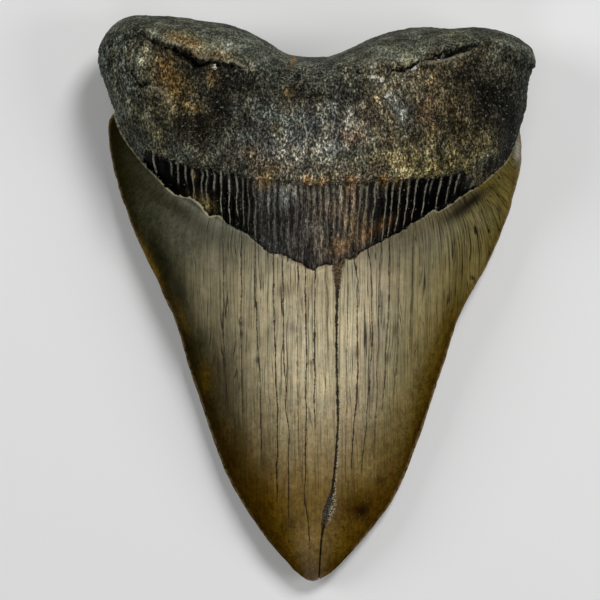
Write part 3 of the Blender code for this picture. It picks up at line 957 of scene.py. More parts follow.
    def relief(self, spots: Spots, cast: Roughcast) -> Array:
        """How far the root's surface stands out of the smooth form.

        Args:
            spots: The points' places.
            cast: The unevenness to use.

        Returns:
            Millimetres along the surface's normal.
        """
        over_skin = self.over_skin(spots, cast)
        bare = 1 - 0.65 * rise(-0.5, 1.0, over_skin)
        calm = rise(0, 9, spots.from_base) * rise(0, 0.14, 1 - np.abs(spots.side))
        relief = self.lump_height * cast.lumps(spots.place, 9.0, 3, 0.55) * (0.25 + 0.75 * calm)
        relief += self.grain_height * bare * cast.lumps(spots.place + 5, 1.15, 2, 0.7)
        step = self.skin_step * rise(-0.2, 0.35, over_skin) * bell(np.clip(over_skin, 0, 99), 8.0)
        relief += step * (0.35 + 0.65 * rise(10, 20, np.abs(spots.x)))
        sway, uneven = self.ragged(spots, cast)
        for crack, away in self.crack_ratios(spots, sway, uneven):
            relief -= crack.depth * np.clip(1.15 - away, 0, 1) ** 0.8 * spots.inner
        for fold in self.folds:
            away = fold.ratio(spots.x + 0.6 * sway, spots.y, 0.6 * uneven)
            relief -= fold.depth * bell(away, 1.0) * spots.inner
        for pit in self.pits:
            ragged = np.hypot(spots.x - pit.x, spots.y - pit.y) / pit.half_width
            relief -= pit.depth * bell(ragged * (1 + 0.25 * sway), 1.0) * spots.inner
        suture = bell(self.suture.distance(spots.x, spots.y), self.suture_half_width)
        return relief - self.suture_depth * suture * spots.inner


@dataclass(frozen=True)
class Gradient:
    """A run of colours along a scale: each stop is a place on it and a colour mixed from 0 to 255."""

    stops: tuple[tuple[float, Mixed], ...]

    def at(self, value: Array) -> Array:
        """The colours at these places on the scale.

        Args:
            value: Places on the scale.

        Returns:
            Rows of red, green and blue.
        """
        places = [place for place, _ in self.stops]
        colours = np.array([paint(*colour) for _, colour in self.stops])
        return np.column_stack([np.interp(value, places, colours[:, k]) for k in range(3)])


def laid_over(tone: Array, patches: tuple[Patch, ...], spots: Spots) -> Array:
    """Lays soft patches of colour over a tone.

    Args:
        tone: Rows of red, green and blue.
        patches: The patches, the last on top.
        spots: The points' places.

    Returns:
        The tone with the patches over its inner face.
    """
    for patch in patches:
        share = (patch.over(spots.x, spots.y) * spots.inner)[:, None]
        tone = tone * (1 - share) + np.array(paint(*patch.colour)) * share
    return tone


@dataclass
class Coat:
    """What one finish gives to the shared shader: its colour, roughness, fine height and shine."""

    colour: Socket
    roughness: Socket
    height: Socket
    shine: object


class NodeBoard:
    """A material's nodes, with short ways to add and join them."""

    def __init__(self, name: str) -> None:
        """Starts an empty material.

        Args:
            name: The material's name.
        """
        self.material = bpy.data.materials.new(name)
        self.material.use_nodes = True
        self.tree = self.material.node_tree
        self.tree.nodes.clear()

    def add(self, kind: str, inputs: dict, **settings: object) -> bpy.types.Node:
        """Adds a node.

        Args:
            kind: The node's type.
            inputs: Sockets or values for its inputs, by name or number.
            **settings: The node's own settings.

        Returns:
            The node.
        """
        node = self.tree.nodes.new(kind)
        for key, value in settings.items():
            setattr(node, key, value)
        for key, value in inputs.items():
            if isinstance(value, Socket):
                self.tree.links.new(value, node.inputs[key])
            else:
                node.inputs[key].default_value = value
        return node

    def number(self, name: str) -> Socket:
        """Reads a number that the mesh carries."""
        return self.add("ShaderNodeAttribute", {}, attribute_name=name).outputs["Fac"]

    def vector(self, name: str) -> Socket:
        """Reads a vector that the mesh carries."""
        return self.add("ShaderNodeAttribute", {}, attribute_name=name).outputs["Vector"]

    def colour(self, name: str) -> Socket:
        """Reads a colour that the mesh carries."""
        return self.add("ShaderNodeAttribute", {}, attribute_name=name).outputs["Color"]

    def sum(self, operation: str, first: object, second: object = 0.0) -> Socket:
        """Does arithmetic on two numbers.

        Args:
            operation: The name of Blender's operation.
            first: A socket or a number.
            second: A socket or a number.

        Returns:
            The result.
        """
        return self.add("ShaderNodeMath", {0: first, 1: second}, operation=operation).outputs[0]

    def times(self, first: object, second: object) -> Socket:
        """One number times another."""
        return self.sum("MULTIPLY", first, second)

    def plus(self, first: object, second: object) -> Socket:
        """One number and another."""
        return self.sum("ADD", first, second)

    def off_whole(self, number: Socket) -> Socket:
        """How far a number is from the nearest whole one."""
        return self.sum("ABSOLUTE", self.sum("SUBTRACT", number, self.sum("ROUND", number)))

    def rise(
        self, value: object, low: float, high: float, start: object = 0.0, end: object = 1.0
    ) -> Socket:
        """A smooth climb between two values.

        Args:
            value: What to read.
            low: Where the climb starts.
            high: Where it ends.
            start: The result below the climb.
            end: The result above it.

        Returns:
            The result's socket.
        """
        inputs = {0: value, 1: low, 2: high, 3: start, 4: end}
        if low > high:
            inputs = {0: value, 1: high, 2: low, 3: end, 4: start}
        return self.add("ShaderNodeMapRange", inputs, interpolation_type="SMOOTHSTEP").outputs[0]

    def stretched(self, vector: Socket, by: Stretch) -> Socket:
        """Scales a vector by a different amount each way."""
        return self.add("ShaderNodeVectorMath", {0: vector, 1: by}, operation="MULTIPLY").outputs[0]

    def noise(self, vector: Socket, scale: float, detail: float = 2.0, roughness: float = 0.5) -> Socket:
        """Cloudy unevenness around a half.

        Args:
            vector: Where to read it.
            scale: Clouds in each unit of the vector.
            detail: How many finer sizes are laid over.
            roughness: How strong they are.

        Returns:
            The unevenness's socket.
        """
        inputs = {"Vector": vector, "Scale": scale, "Detail": detail, "Roughness": roughness}
        return self.add("ShaderNodeTexNoise", inputs).outputs["Fac"]

    def streaks(self, vector: Socket, by: Stretch, detail: float, roughness: float = 0.5) -> Socket:
        """Cloudy unevenness that is stretched by a different amount each way."""
        return self.noise(self.stretched(vector, by), 1.0, detail, roughness)

    def mix(self, share: object, low: object, high: object, blend: Blend = Blend.MIX) -> Socket:
        """Mixes two colours.

        Args:
            share: How much of the second.
            low: The first colour.
            high: The second colour.
            blend: How they join.

        Returns:
            The mixed colour.
        """
        colours = [(*c, 1.0) if isinstance(c, tuple) else c for c in (low, high)]
        node = self.add(
            "ShaderNodeMix", {0: share, 6: colours[0], 7: colours[1]},
            data_type="RGBA", blend_type=blend.value, clamp_factor=True,
        )
        return node.outputs[2]

    def blend(self, share: object, low: object, high: object) -> Socket:
        """Mixes two numbers."""
        inputs = {0: share, 2: low, 3: high}
        return self.add("ShaderNodeMix", inputs, data_type="FLOAT", clamp_factor=True).outputs[0]

    def lit(self, colour: Socket, share: object) -> Socket:
        """Makes a colour lighter or darker by a number."""
        return self.add("ShaderNodeVectorMath", {0: colour, "Scale": share}, operation="SCALE").outputs[0]

    def line(self, fields: Socket, wobble: object, half_width: object) -> Socket:
        """A thin line wherever a field of lines is whole.

        Args:
            fields: The number that is whole on each line, the span of one step, and the strength.
            wobble: Millimetres that the line sways by.
            half_width: The line's half width in millimetres, as a number or a socket.

        Returns:
            How strongly a line covers each place.
        """
        parts = self.add("ShaderNodeSeparateXYZ", {0: fields}).outputs
        swayed = self.plus(parts[0], self.sum("DIVIDE", wobble, parts[1]))
        away = self.off_whole(swayed)
        away = self.sum("DIVIDE", self.times(away, parts[1]), half_width)
        return self.times(self.rise(away, 1.0, 0.2), parts[2])


@dataclass(frozen=True)
class Comb:
    """Fine dark lines between the fibres: lines in a millimetre, their dark share, strength and shift."""

    rate: float
    share: float
    strength: float
    offset: float


@dataclass
class EnamelGrain:
    """The fields that the steps of the enamel's finish share."""

    board: NodeBoard
    fibre: Socket
    combed: Socket
    fine: Socket
    cloudy: Socket
    mottled: Socket


@dataclass(frozen=True)
class EnamelFinish:
    """Polished fossil enamel: cream along the middle, amber at the worn edges and darker towards them, partly
    as painted shade, streaked along its fibres.
    """

    # From the left cutting edge (-1) to the right one (1): the darkening towards both edges is partly the
    # enamel's own amber and partly painted shade where the blade turns away from the light.
    tip: Gradient = Gradient((
        (-1, (33, 22, 1)), (-0.83, (50, 35, 2)), (-0.6, (66, 46, 3)), (-0.34, (90, 67, 12)),
        (-0.05, (114, 91, 40)), (0.2, (109, 86, 38)), (0.4, (97, 75, 20)), (0.65, (76, 55, 6)),
        (0.9, (54, 36, 2)), (1, (42, 27, 2)),
    ))
    middle: Gradient = Gradient((
        (-1, (26, 17, 2)), (-0.93, (29, 20, 2)), (-0.77, (34, 30, 12)), (-0.61, (75, 69, 44)),
        (-0.46, (121, 113, 85)), (-0.3, (157, 146, 115)), (-0.12, (180, 168, 136)), (0.05, (184, 171, 137)),
        (0.2, (184, 171, 139)), (0.35, (158, 146, 117)), (0.51, (136, 126, 91)), (0.67, (121, 109, 69)),
        (0.83, (86, 71, 26)), (0.93, (68, 51, 8)), (1, (58, 42, 4)),
    ))
    shoulder: Gradient = Gradient((
        (-1, (22, 18, 3)), (-0.9, (32, 30, 12)), (-0.78, (46, 45, 29)), (-0.64, (61, 62, 47)),
        (-0.5, (88, 89, 72)), (-0.25, (103, 99, 82)), (0, (113, 105, 86)), (0.3, (104, 100, 79)),
        (0.46, (96, 91, 66)), (0.59, (107, 101, 73)), (0.73, (106, 97, 60)), (0.87, (96, 86, 44)),
        (1, (74, 62, 22)),
    ))
    tip_fade: Point = (-53.0, -14.0)
    shoulder_fade: Point = (2.0, 18.0)
    patches: tuple[Patch, ...] = (
        # The pale cream patches at 1, -20; 6.5, -9; -5.1, -10.5 and 12.9, -4 are painted highlight over the
        # enamel's own cream.
        Patch(1, -20, 2.6, 8, (206, 191, 156), 0.6), Patch(6.5, -9, 3, 8, (206, 192, 158), 0.5),
        Patch(-5.1, -10.5, 4.2, 10, (214, 200, 168), 0.4), Patch(12.9, -4, 2.4, 5, (204, 190, 156), 0.4),
        Patch(-17.8, -9, 3, 11, (118, 108, 82), 0.3), Patch(9.5, 4, 3, 6, (176, 164, 134), 0.5),
        Patch(-2, 2, 2.6, 6, (120, 108, 84), 0.4), Patch(28, 19, 6, 1.6, (104, 90, 62), 0.6, 30),
        Patch(36, 25.9, 6.4, 1.2, (88, 74, 36), 0.9, 36), Patch(47, 13, 2, 4, (60, 46, 10), 0.6, -25),
        # The dark patches at 35.6, 22.4 and 39, 24.8 are painted shade in the valley below the enamel's raised
        # rim.
        Patch(35.6, 22.4, 5, 1.5, (44, 38, 16), 0.85, 34), Patch(39, 24.8, 5.6, 1.4, (12, 9, 3), 1, 40),
        Patch(42.5, 20.5, 3.6, 2.6, (116, 110, 78), 0.5, 45),
        Patch(48.4, 24.5, 1.2, 3.4, (112, 96, 52), 0.5, -12),
        # The dark patches at -41, 27; -30.5, 19.8 and -35.4, 23.6 are painted shade along the enamel's border
        # under the band's ledge, over an olive-brown tone.
        Patch(-41, 27, 7.5, 1.7, (42, 39, 22), 0.6, -40), Patch(-30.5, 19.8, 5, 1.7, (46, 43, 26), 0.6, -35),
        Patch(-35.4, 23.6, 3.4, 2, (34, 30, 13), 0.7, -38), Patch(-31.6, 14, 3, 2.6, (66, 64, 48), 0.45, 30),
        Patch(-38.8, 8.4, 2.6, 6, (26, 25, 13), 0.7, 27), Patch(51.4, 38, 1, 3.2, (158, 158, 146), 0.9),
        Patch(31, 23, 1, 0.8, (140, 112, 52), 0.7, 30), Patch(42.4, 29.4, 1.4, 0.9, (112, 86, 24), 0.8, 40),
        Patch(46.6, 23, 0.5, 1.6, (14, 12, 8), 0.9, 35), Patch(-40, 11, 1.8, 6.5, (30, 30, 17), 0.75, 25),
        Patch(-34.8, 1.5, 2, 4, (32, 32, 20), 0.75, 22), Patch(-42.4, 9, 1.3, 7, (106, 84, 26), 0.75, 25),
        Patch(-34.2, -4, 1.4, 4, (84, 68, 26), 0.6, 20), Patch(-6.1, -6.9, 1, 1.6, (104, 104, 92), 0.6),
        Patch(10.4, -13.2, 0.7, 2, (70, 52, 32), 0.8), Patch(14.2, -8.4, 0.8, 2.6, (104, 94, 72), 0.7),
        Patch(19.9, -7.9, 0.7, 1.6, (78, 66, 44), 0.7), Patch(17.7, -14.8, 0.6, 1.2, (52, 40, 22), 0.8),
        Patch(-14.9, -15.2, 0.6, 0.9, (34, 38, 30), 0.9), Patch(-18.8, -8.6, 0.5, 0.8, (48, 42, 28), 0.8),
        Patch(-23.2, -3.8, 0.5, 0.8, (60, 52, 34), 0.7), Patch(-1.3, -15.8, 0.8, 0.6, (72, 60, 44), 0.8),
        Patch(13, 13.6, 5, 1.4, (124, 102, 70), 0.5, 28), Patch(12.4, -41, 3, 4.6, (146, 128, 82), 0.6),
        Patch(0, -68, 8, 5.5, (62, 44, 12), 0.6), Patch(10.5, -53, 5.2, 3.6, (58, 36, 6), 0.85),
        Patch(11.4, -53.6, 2.1, 1.6, (26, 13, 4), 0.95), Patch(-1.8, -60.8, 2.4, 2.8, (136, 112, 70), 0.6),
        Patch(-27.8, -19.6, 1.8, 3.4, (104, 80, 12), 0.6), Patch(-29, -10, 1.8, 4, (44, 42, 18), 0.6),
        Patch(26, -19.9, 1.5, 3, (62, 48, 16), 0.5), Patch(-8.4, 2.3, 1.5, 2.2, (74, 64, 44), 0.6),
        Patch(-27, -20, 1.8, 3.5, (44, 32, 8), 0.5), Patch(16.4, -45.7, 1.5, 0.9, (38, 30, 8), 0.9),
        Patch(-12.2, -8.4, 0.9, 1.6, (96, 82, 56), 0.5), Patch(4, -53.4, 1.6, 3, (62, 50, 34), 0.6, -12),
        Patch(-8.4, -59.6, 2.6, 6, (46, 31, 3), 0.55, -20), Patch(8, -59.4, 2.6, 3.4, (58, 40, 8), 0.45, 25),
    )
    outer: Colour = paint(132, 118, 84)
    hairline: Colour = paint(30, 21, 9)
    lip: Colour = paint(150, 144, 120)
    combs: tuple[Comb, ...] = (Comb(0.95, 0.17, 1.0, 0.0), Comb(2.0, 0.26, 0.55, 37.0))
    comb_sway: float = 1.4
    fine_fibres: Stretch = (2.6, 0.06, 0.2)
    broad_fibres: Stretch = (1.1, 0.012, 0.1)
    mottles: Stretch = (0.9, 0.6, 0.5)
    stains: Stretch = (0.5, 0.4, 0.3)
    tinges: Stretch = (0.5, 0.09, 0.1)
    comb_sways: Stretch = (0.35, 0.018, 0.1)
    comb_breaks: Stretch = (0.9, 0.022, 0.2)
    pore_field: Stretch = (1.0, 0.7, 1.0)
    hairline_sways: Stretch = (0.4, 0.1, 0.2)
    hairline_knots: Stretch = (0.7, 0.8, 0.2)
    hairline_pits: Stretch = (0.5, 0.28, 0.2)
    fleck_field: Stretch = (1.0, 0.55, 1.0)
    crack_knots: Stretch = (0.5, 0.9, 0.2)
    stain: Colour = (0.8, 0.72, 0.5)
    cool: Colour = (0.94, 0.99, 1.02)
    warm: Colour = (1.05, 0.99, 0.94)
    rim: Colour = paint(142, 124, 86)
    crack: Colour = paint(24, 16, 8)
    silt: Colour = paint(104, 82, 52)
    ash: Colour = paint(78, 76, 68)
    speck: Colour = paint(196, 188, 160)
    streak: float = 0.17
    broad: tuple[Point, Point] = ((0.97, 0.92), (1.09, 1.2))
    cloud: float = 0.08
    mottle: tuple[Point, Point] = ((0.76, 0.93), (1.26, 1.07))
    gloss: float = 0.42

    def tone(self, spots: Spots, cast: Roughcast) -> Array:
        """The broad colour of every point.

        Args:
            spots: The points' places.
            cast: The unevenness that breaks up the colours.

        Returns:
            Rows of red, green and blue.
        """
        sway = cast.lumps(np.column_stack([spots.x, spots.y * 0.25, 0 * spots.x]), 7.0, 3)
        side = np.clip(spots.side + 0.05 * sway, -1, 1)
        tipwards = 1 - rise(*self.tip_fade, spots.y)[:, None]
        shoulderwards = rise(*self.shoulder_fade, spots.y)[:, None]
        # The gradients darken towards the edges partly as painted shade, and some of the patches are painted
        # highlight and painted shade.
        tone = self.middle.at(side) * (1 - tipwards) + self.tip.at(side) * tipwards
        tone = tone * (1 - shoulderwards) + self.shoulder.at(side) * shoulderwards
        tone = laid_over(tone, self.patches, spots)
        edge = np.abs(spots.side)[:, None]
        outer = np.array(self.outer) * (1 - 0.5 * tipwards) * (1 - edge) + tone * edge
        return np.where(spots.inner[:, None], tone, outer)

    def grain(self, board: NodeBoard) -> EnamelGrain:
        """The fields that the finish's steps share.

        Args:
            board: The material.

        Returns:
            The fields.
        """
        fibre = board.vector("fibre")
        return EnamelGrain(
            board=board,
            fibre=fibre,
            combed=board.number("combed"),
            fine=board.streaks(fibre, self.fine_fibres, 4.0, 0.8),
            cloudy=board.noise(fibre, 0.22, 5.0, 0.65),
            mottled=board.streaks(fibre, self.mottles, 5.0, 0.8),
        )

    def clouded(self, grain: EnamelGrain) -> Socket:
        """The broad colour with its streaks, clouds, stains and tinges.

        Args:
            grain: The shared fields.

        Returns:
            The colour.
        """
        board = grain.board
        streak = board.rise(grain.fine, 0.36, 0.64, -self.streak, self.streak)
        broad = board.streaks(grain.fibre, self.broad_fibres, 2.0, 0.6)
        ends = (board.blend(grain.combed, calm, keen) for calm, keen in self.broad)
        light = board.times(streak, grain.combed)
        light = board.plus(light, board.rise(broad, 0.34, 0.66, *ends))
        cloud = board.rise(grain.cloudy, 0.3, 0.7, 0.98 - self.cloud, 1.12 + self.cloud)
        light = board.times(light, cloud)
        ends = (board.blend(grain.combed, bare, drawn) for bare, drawn in self.mottle)
        light = board.times(light, board.rise(grain.mottled, 0.41, 0.59, *ends))
        colour = board.lit(board.colour("enamel_tone"), light)
        stained = board.streaks(grain.fibre, self.stains, 5.0, 0.8)
        stained = board.times(board.rise(stained, 0.48, 0.6), board.blend(grain.combed, 0.75, 0.0))
        colour = board.mix(stained, colour, self.stain, Blend.MULTIPLY)
        tinge = board.streaks(grain.fibre, self.tinges, 4.0, 0.7)
        colour = board.mix(board.rise(tinge, 0.52, 0.66), colour, self.cool, Blend.MULTIPLY)
        return board.mix(board.rise(tinge, 0.48, 0.34), colour, self.warm, Blend.MULTIPLY)

    def combed(self, grain: EnamelGrain, colour: Socket) -> Socket:
        """Lays the fine dark lines between the fibres over a colour.

        Args:
            grain: The shared fields.
            colour: The colour so far.

        Returns:
            The colour.
        """
        board = grain.board
        across = board.add("ShaderNodeSeparateXYZ", {0: grain.fibre}).outputs[0]
        sway = board.streaks(grain.fibre, self.comb_sways, 2.0)
        sway = board.rise(sway, 0.2, 0.8, -self.comb_sway, self.comb_sway)
        thinned = board.rise(grain.fine, 0.6, 0.4, 0.4, 1.0)
        for comb in self.combs:
            number = board.times(across, comb.rate)
            number = board.plus(number, board.times(sway, comb.rate))
            away = board.off_whole(number)
            offset = (comb.offset, comb.offset, 0.0)
            shifted = board.add("ShaderNodeVectorMath", {0: grain.fibre, 1: offset}).outputs[0]
            seen = board.streaks(shifted, self.comb_breaks, 2.5, 0.7)
            seen = board.times(board.rise(seen, 0.38, 0.58, 0.1, 1.0), thinned)
            seen = board.times(seen, comb.strength)
            dark = board.times(board.rise(away, comb.share, comb.share / 4), seen)
            colour = board.mix(board.times(dark, grain.combed), colour, self.hairline)
        return colour

    def worn(self, grain: EnamelGrain, colour: Socket) -> Socket:
        """Lays the pale cutting edge, the pores and the pale lip over a colour.

        Args:
            grain: The shared fields.
            colour: The colour so far.

        Returns:
            The colour.
        """
        board = grain.board
        rim = board.times(board.number("rim"), board.rise(grain.mottled, 0.42, 0.54, 0.1, 0.85))
        colour = board.mix(rim, colour, self.rim)
        pores = board.noise(board.stretched(grain.fibre, self.pore_field), 1.5, 2.0, 0.6)
        pores = board.times(board.rise(pores, 0.58, 0.66), board.blend(grain.combed, 0.5, 0.12))
        colour = board.mix(pores, colour, self.hairline)
        lip = board.times(board.rise(board.number("over_enamel"), -0.42, -0.2), board.number("lip"))
        lip = board.times(lip, board.rise(grain.cloudy, 0.35, 0.5, 0.4, 0.9))
        return board.mix(lip, colour, self.lip)

    def hairlines(self, grain: EnamelGrain) -> Socket:
        """How strongly a hairline covers each place: it sways a little, and widens at knots and pits.

        Args:
            grain: The shared fields.

        Returns:
            Shares from 0 to 1.
        """
        board = grain.board
        wobble = board.streaks(grain.fibre, self.hairline_sways, 5.0, 0.6)
        knots = board.streaks(grain.fibre, self.hairline_knots, 3.0, 0.75)
        pits = board.streaks(grain.fibre, self.hairline_pits, 2.0, 0.6)
        pits = board.rise(pits, 0.62, 0.7, 0.0, 0.36)
        half_width = board.plus(board.rise(knots, 0.36, 0.62, 0.1, 0.3), pits)
        return board.line(board.vector("hairlines"), board.rise(wobble, 0.2, 0.8, -0.3, 0.3), half_width)

    def cracked(self, grain: EnamelGrain, colour: Socket) -> tuple[Socket, Socket]:
        """Lays the main crack over a colour, with the silt and ash that fill it and the flecks beside it.

        Args:
            grain: The shared fields.
            colour: The colour so far.

        Returns:
            The colour, and how far each place is inside the crack.
        """
        board, fibre = grain.board, grain.fibre
        specks = board.noise(board.stretched(fibre, self.fleck_field), 2.2, 2.0, 0.7)
        specks = board.times(board.rise(specks, 0.66, 0.74), board.number("flecks"))
        colour = board.mix(board.times(specks, 0.5), colour, self.speck)
        crack, filled, dust = (board.number(name) for name in ("main_crack", "filled", "dust"))
        grit = board.noise(fibre, 2.3, 3.0, 0.7)
        knots = board.streaks(fibre, self.crack_knots, 3.0, 0.7)
        uneven = board.rise(grit, 0.3, 0.7, -0.35, 0.35)
        uneven = board.plus(uneven, board.rise(knots, 0.35, 0.65, -0.35, 0.45))
        uneven = board.times(uneven, board.blend(filled, 1.0, 0.35))
        opened = board.rise(board.plus(board.sum("ABSOLUTE", crack), uneven), 1.3, 0.8)
        filling = board.mix(dust, self.silt, self.ash)
        filled = board.times(board.rise(grit, 0.44, 0.6), filled)
        filling = board.mix(filled, self.crack, filling)
        colour = board.mix(board.times(opened, 0.95), colour, filling)
        dusty = board.times(board.rise(board.noise(fibre, 3.1, 2.0, 0.7), 0.5, 0.6), dust)
        beside = board.times(board.rise(crack, 0.3, 0.9), board.rise(crack, 2.4, 1.2))
        return board.mix(board.times(dusty, beside), colour, self.speck), opened

    def coat(self, board: NodeBoard) -> Coat:
        """Lays the finish out as nodes.

        Args:
            board: The material.

        Returns:
            The coat.
        """
        grain = self.grain(board)
        line = self.hairlines(grain)
        colour = self.worn(grain, self.combed(grain, self.clouded(grain)))
        colour, opened = self.cracked(grain, board.mix(line, colour, self.hairline))
        roughness = board.plus(self.gloss, board.rise(grain.fine, 0.3, 0.7, 0.0, 0.12))
        roughness = board.plus(roughness, board.times(opened, 0.35))
        height = board.times(board.rise(grain.fine, 0.2, 0.8), 0.035)
        height = board.sum("SUBTRACT", height, board.times(line, 0.08))
        return Coat(colour, roughness, height, board.number("sheen"))


@dataclass(frozen=True)
class BandFinish:
    """The dark band: glossy black hollows at both sides, deepened with painted shade under the root's
    overhang, a grey and brown middle, thin pale ribs with painted shade between them, and a painted shadow
    along the enamel's edge.
    """

    across: Gradient = Gradient((
        # Near black at both sides: partly the band's own black and partly painted shade under the root's
        # overhang.
        (-50, (30, 30, 22)), (-43, (6, 6, 5)), (-27, (5, 5, 4)), (-18, (20, 22, 20)), (-10, (66, 66, 62)),
        (-1, (70, 63, 55)), (7, (76, 71, 62)), (13, (32, 32, 28)), (18, (12, 12, 9)), (24, (4, 4, 4)),
        (31, (4, 4, 4)), (37, (22, 22, 17)), (43, (25, 26, 19)), (52, (44, 45, 36)),
    ))
    patches: tuple[Patch, ...] = (
        Patch(-28.6, 24.3, 3.2, 1.6, (136, 120, 76), 0.92, -36),
        Patch(-30.8, 31.1, 0.7, 1, (120, 96, 60), 0.8), Patch(-10, 19, 8, 6, (38, 36, 31), 0.85),
        Patch(-3.5, 12, 4, 4, (46, 42, 37), 0.85), Patch(-4.8, 17.6, 2, 2.4, (60, 57, 56), 0.8),
        Patch(-8.5, 27, 3.6, 3, (84, 92, 96), 0.7), Patch(9.5, 20, 3.6, 5, (84, 68, 44), 0.8),
        Patch(14.5, 17.6, 6, 1.5, (96, 68, 36), 0.8, 28), Patch(3, 18, 2.4, 8, (76, 72, 62), 0.75),
        Patch(0, 28.5, 13, 3.4, (98, 92, 78), 0.8), Patch(5, 22.5, 4.5, 2.6, (116, 100, 80), 0.7),
        Patch(5.5, 13.5, 3.2, 2.4, (118, 90, 58), 0.75), Patch(-13, 29.6, 3, 1.6, (124, 100, 62), 0.7),
        Patch(8.6, 28, 1.4, 2.6, (126, 92, 58), 0.7), Patch(18.5, 29.4, 3.6, 1.2, (116, 92, 50), 0.7),
    )
    outer: Colour = paint(92, 84, 64)
    rib: Colour = paint(150, 147, 131)
    tan: Colour = paint(150, 118, 78)
    gloss: float = 0.32

    def tone(self, spots: Spots) -> Array:
        """The broad colour of every point.

        Args:
            spots: The points' places.

        Returns:
            Rows of red, green and blue.
        """
        tone = laid_over(self.across.at(spots.x), self.patches, spots)
        return np.where(spots.inner[:, None], tone, np.array(self.outer))

    def coat(self, board: NodeBoard) -> Coat:
        """Lays the finish out as nodes.

        Args:
            board: The material.

        Returns:
            The coat.
        """
        place = board.add("ShaderNodeTexCoord", {}).outputs["Object"]
        streaks = board.streaks(place, (700.0, 90.0, 200.0), 4.0, 0.85)
        grains = board.noise(board.stretched(place, (1.0, 0.5, 1.0)), 2000.0, 3.0, 0.8)
        clumps = board.streaks(place, (300.0, 120.0, 200.0), 3.0, 0.8)
        light = board.rise(streaks, 0.3, 0.7, -1.6, 1.6)
        light = board.plus(light, board.rise(grains, 0.3, 0.7, -1.1, 1.1))
        light = board.plus(light, board.rise(clumps, 0.3, 0.7, -0.6, 0.6))
        pocket = board.number("pocket")
        # The pockets are darkened further: painted shade under the root's overhang.
        light = board.times(board.sum("EXPONENT", light), board.blend(pocket, 0.75, 0.35))
        colour = board.lit(board.colour("band_tone"), light)
        wobble = board.rise(grains, 0.2, 0.8, -0.12, 0.12)
        half_width = board.rise(board.number("over_band"), -8.0, 0.0, 0.2, 0.38)
        rib = board.line(board.vector("ribs"), wobble, half_width)
        patchy = board.rise(board.noise(place, 1100.0, 3.0, 0.8), 0.38, 0.54, 0.2, 1.0)
        rib = board.times(rib, patchy)
        number = board.add("ShaderNodeSeparateXYZ", {0: board.vector("ribs")}).outputs[0]
        # Lighter beside the ribs and darker midway between them: painted shade in the grooves between the
        # ribs, over the band's own dark colour.
        between = board.off_whole(number)
        between = board.plus(between, board.rise(clumps, 0.3, 0.7, -0.14, 0.14))
        colour = board.lit(colour, board.rise(between, 0.28, 0.44, 1.15, 0.42))
        glint = board.rise(board.noise(place, 1500.0, 1.0, 0.5), 0.7, 0.78)
        colour = board.mix(board.times(glint, 0.5), colour, self.rib)
        colour = board.mix(rib, colour, board.mix(board.rise(grains, 0.6, 0.75), self.rib, self.tan))
        roughness = board.blend(rib, board.blend(pocket, 0.6, self.gloss), 0.6)
        height = board.times(board.rise(streaks, 0.2, 0.8), board.blend(pocket, 0.35, 0.05))
        height = board.plus(height, board.times(rib, 0.06))
        # Painted shadow: the band darkens to 0.35 of its colour along the enamel's edge, where the enamel
        # stands over it, and loses its shine there.
        corner = board.rise(board.number("over_enamel"), 0.0, 0.9)
        colour = board.lit(colour, board.blend(corner, 0.35, 1.0))
        shine = board.times(corner, board.blend(pocket, 0.12, 0.03))
        return Coat(colour, roughness, height, shine)


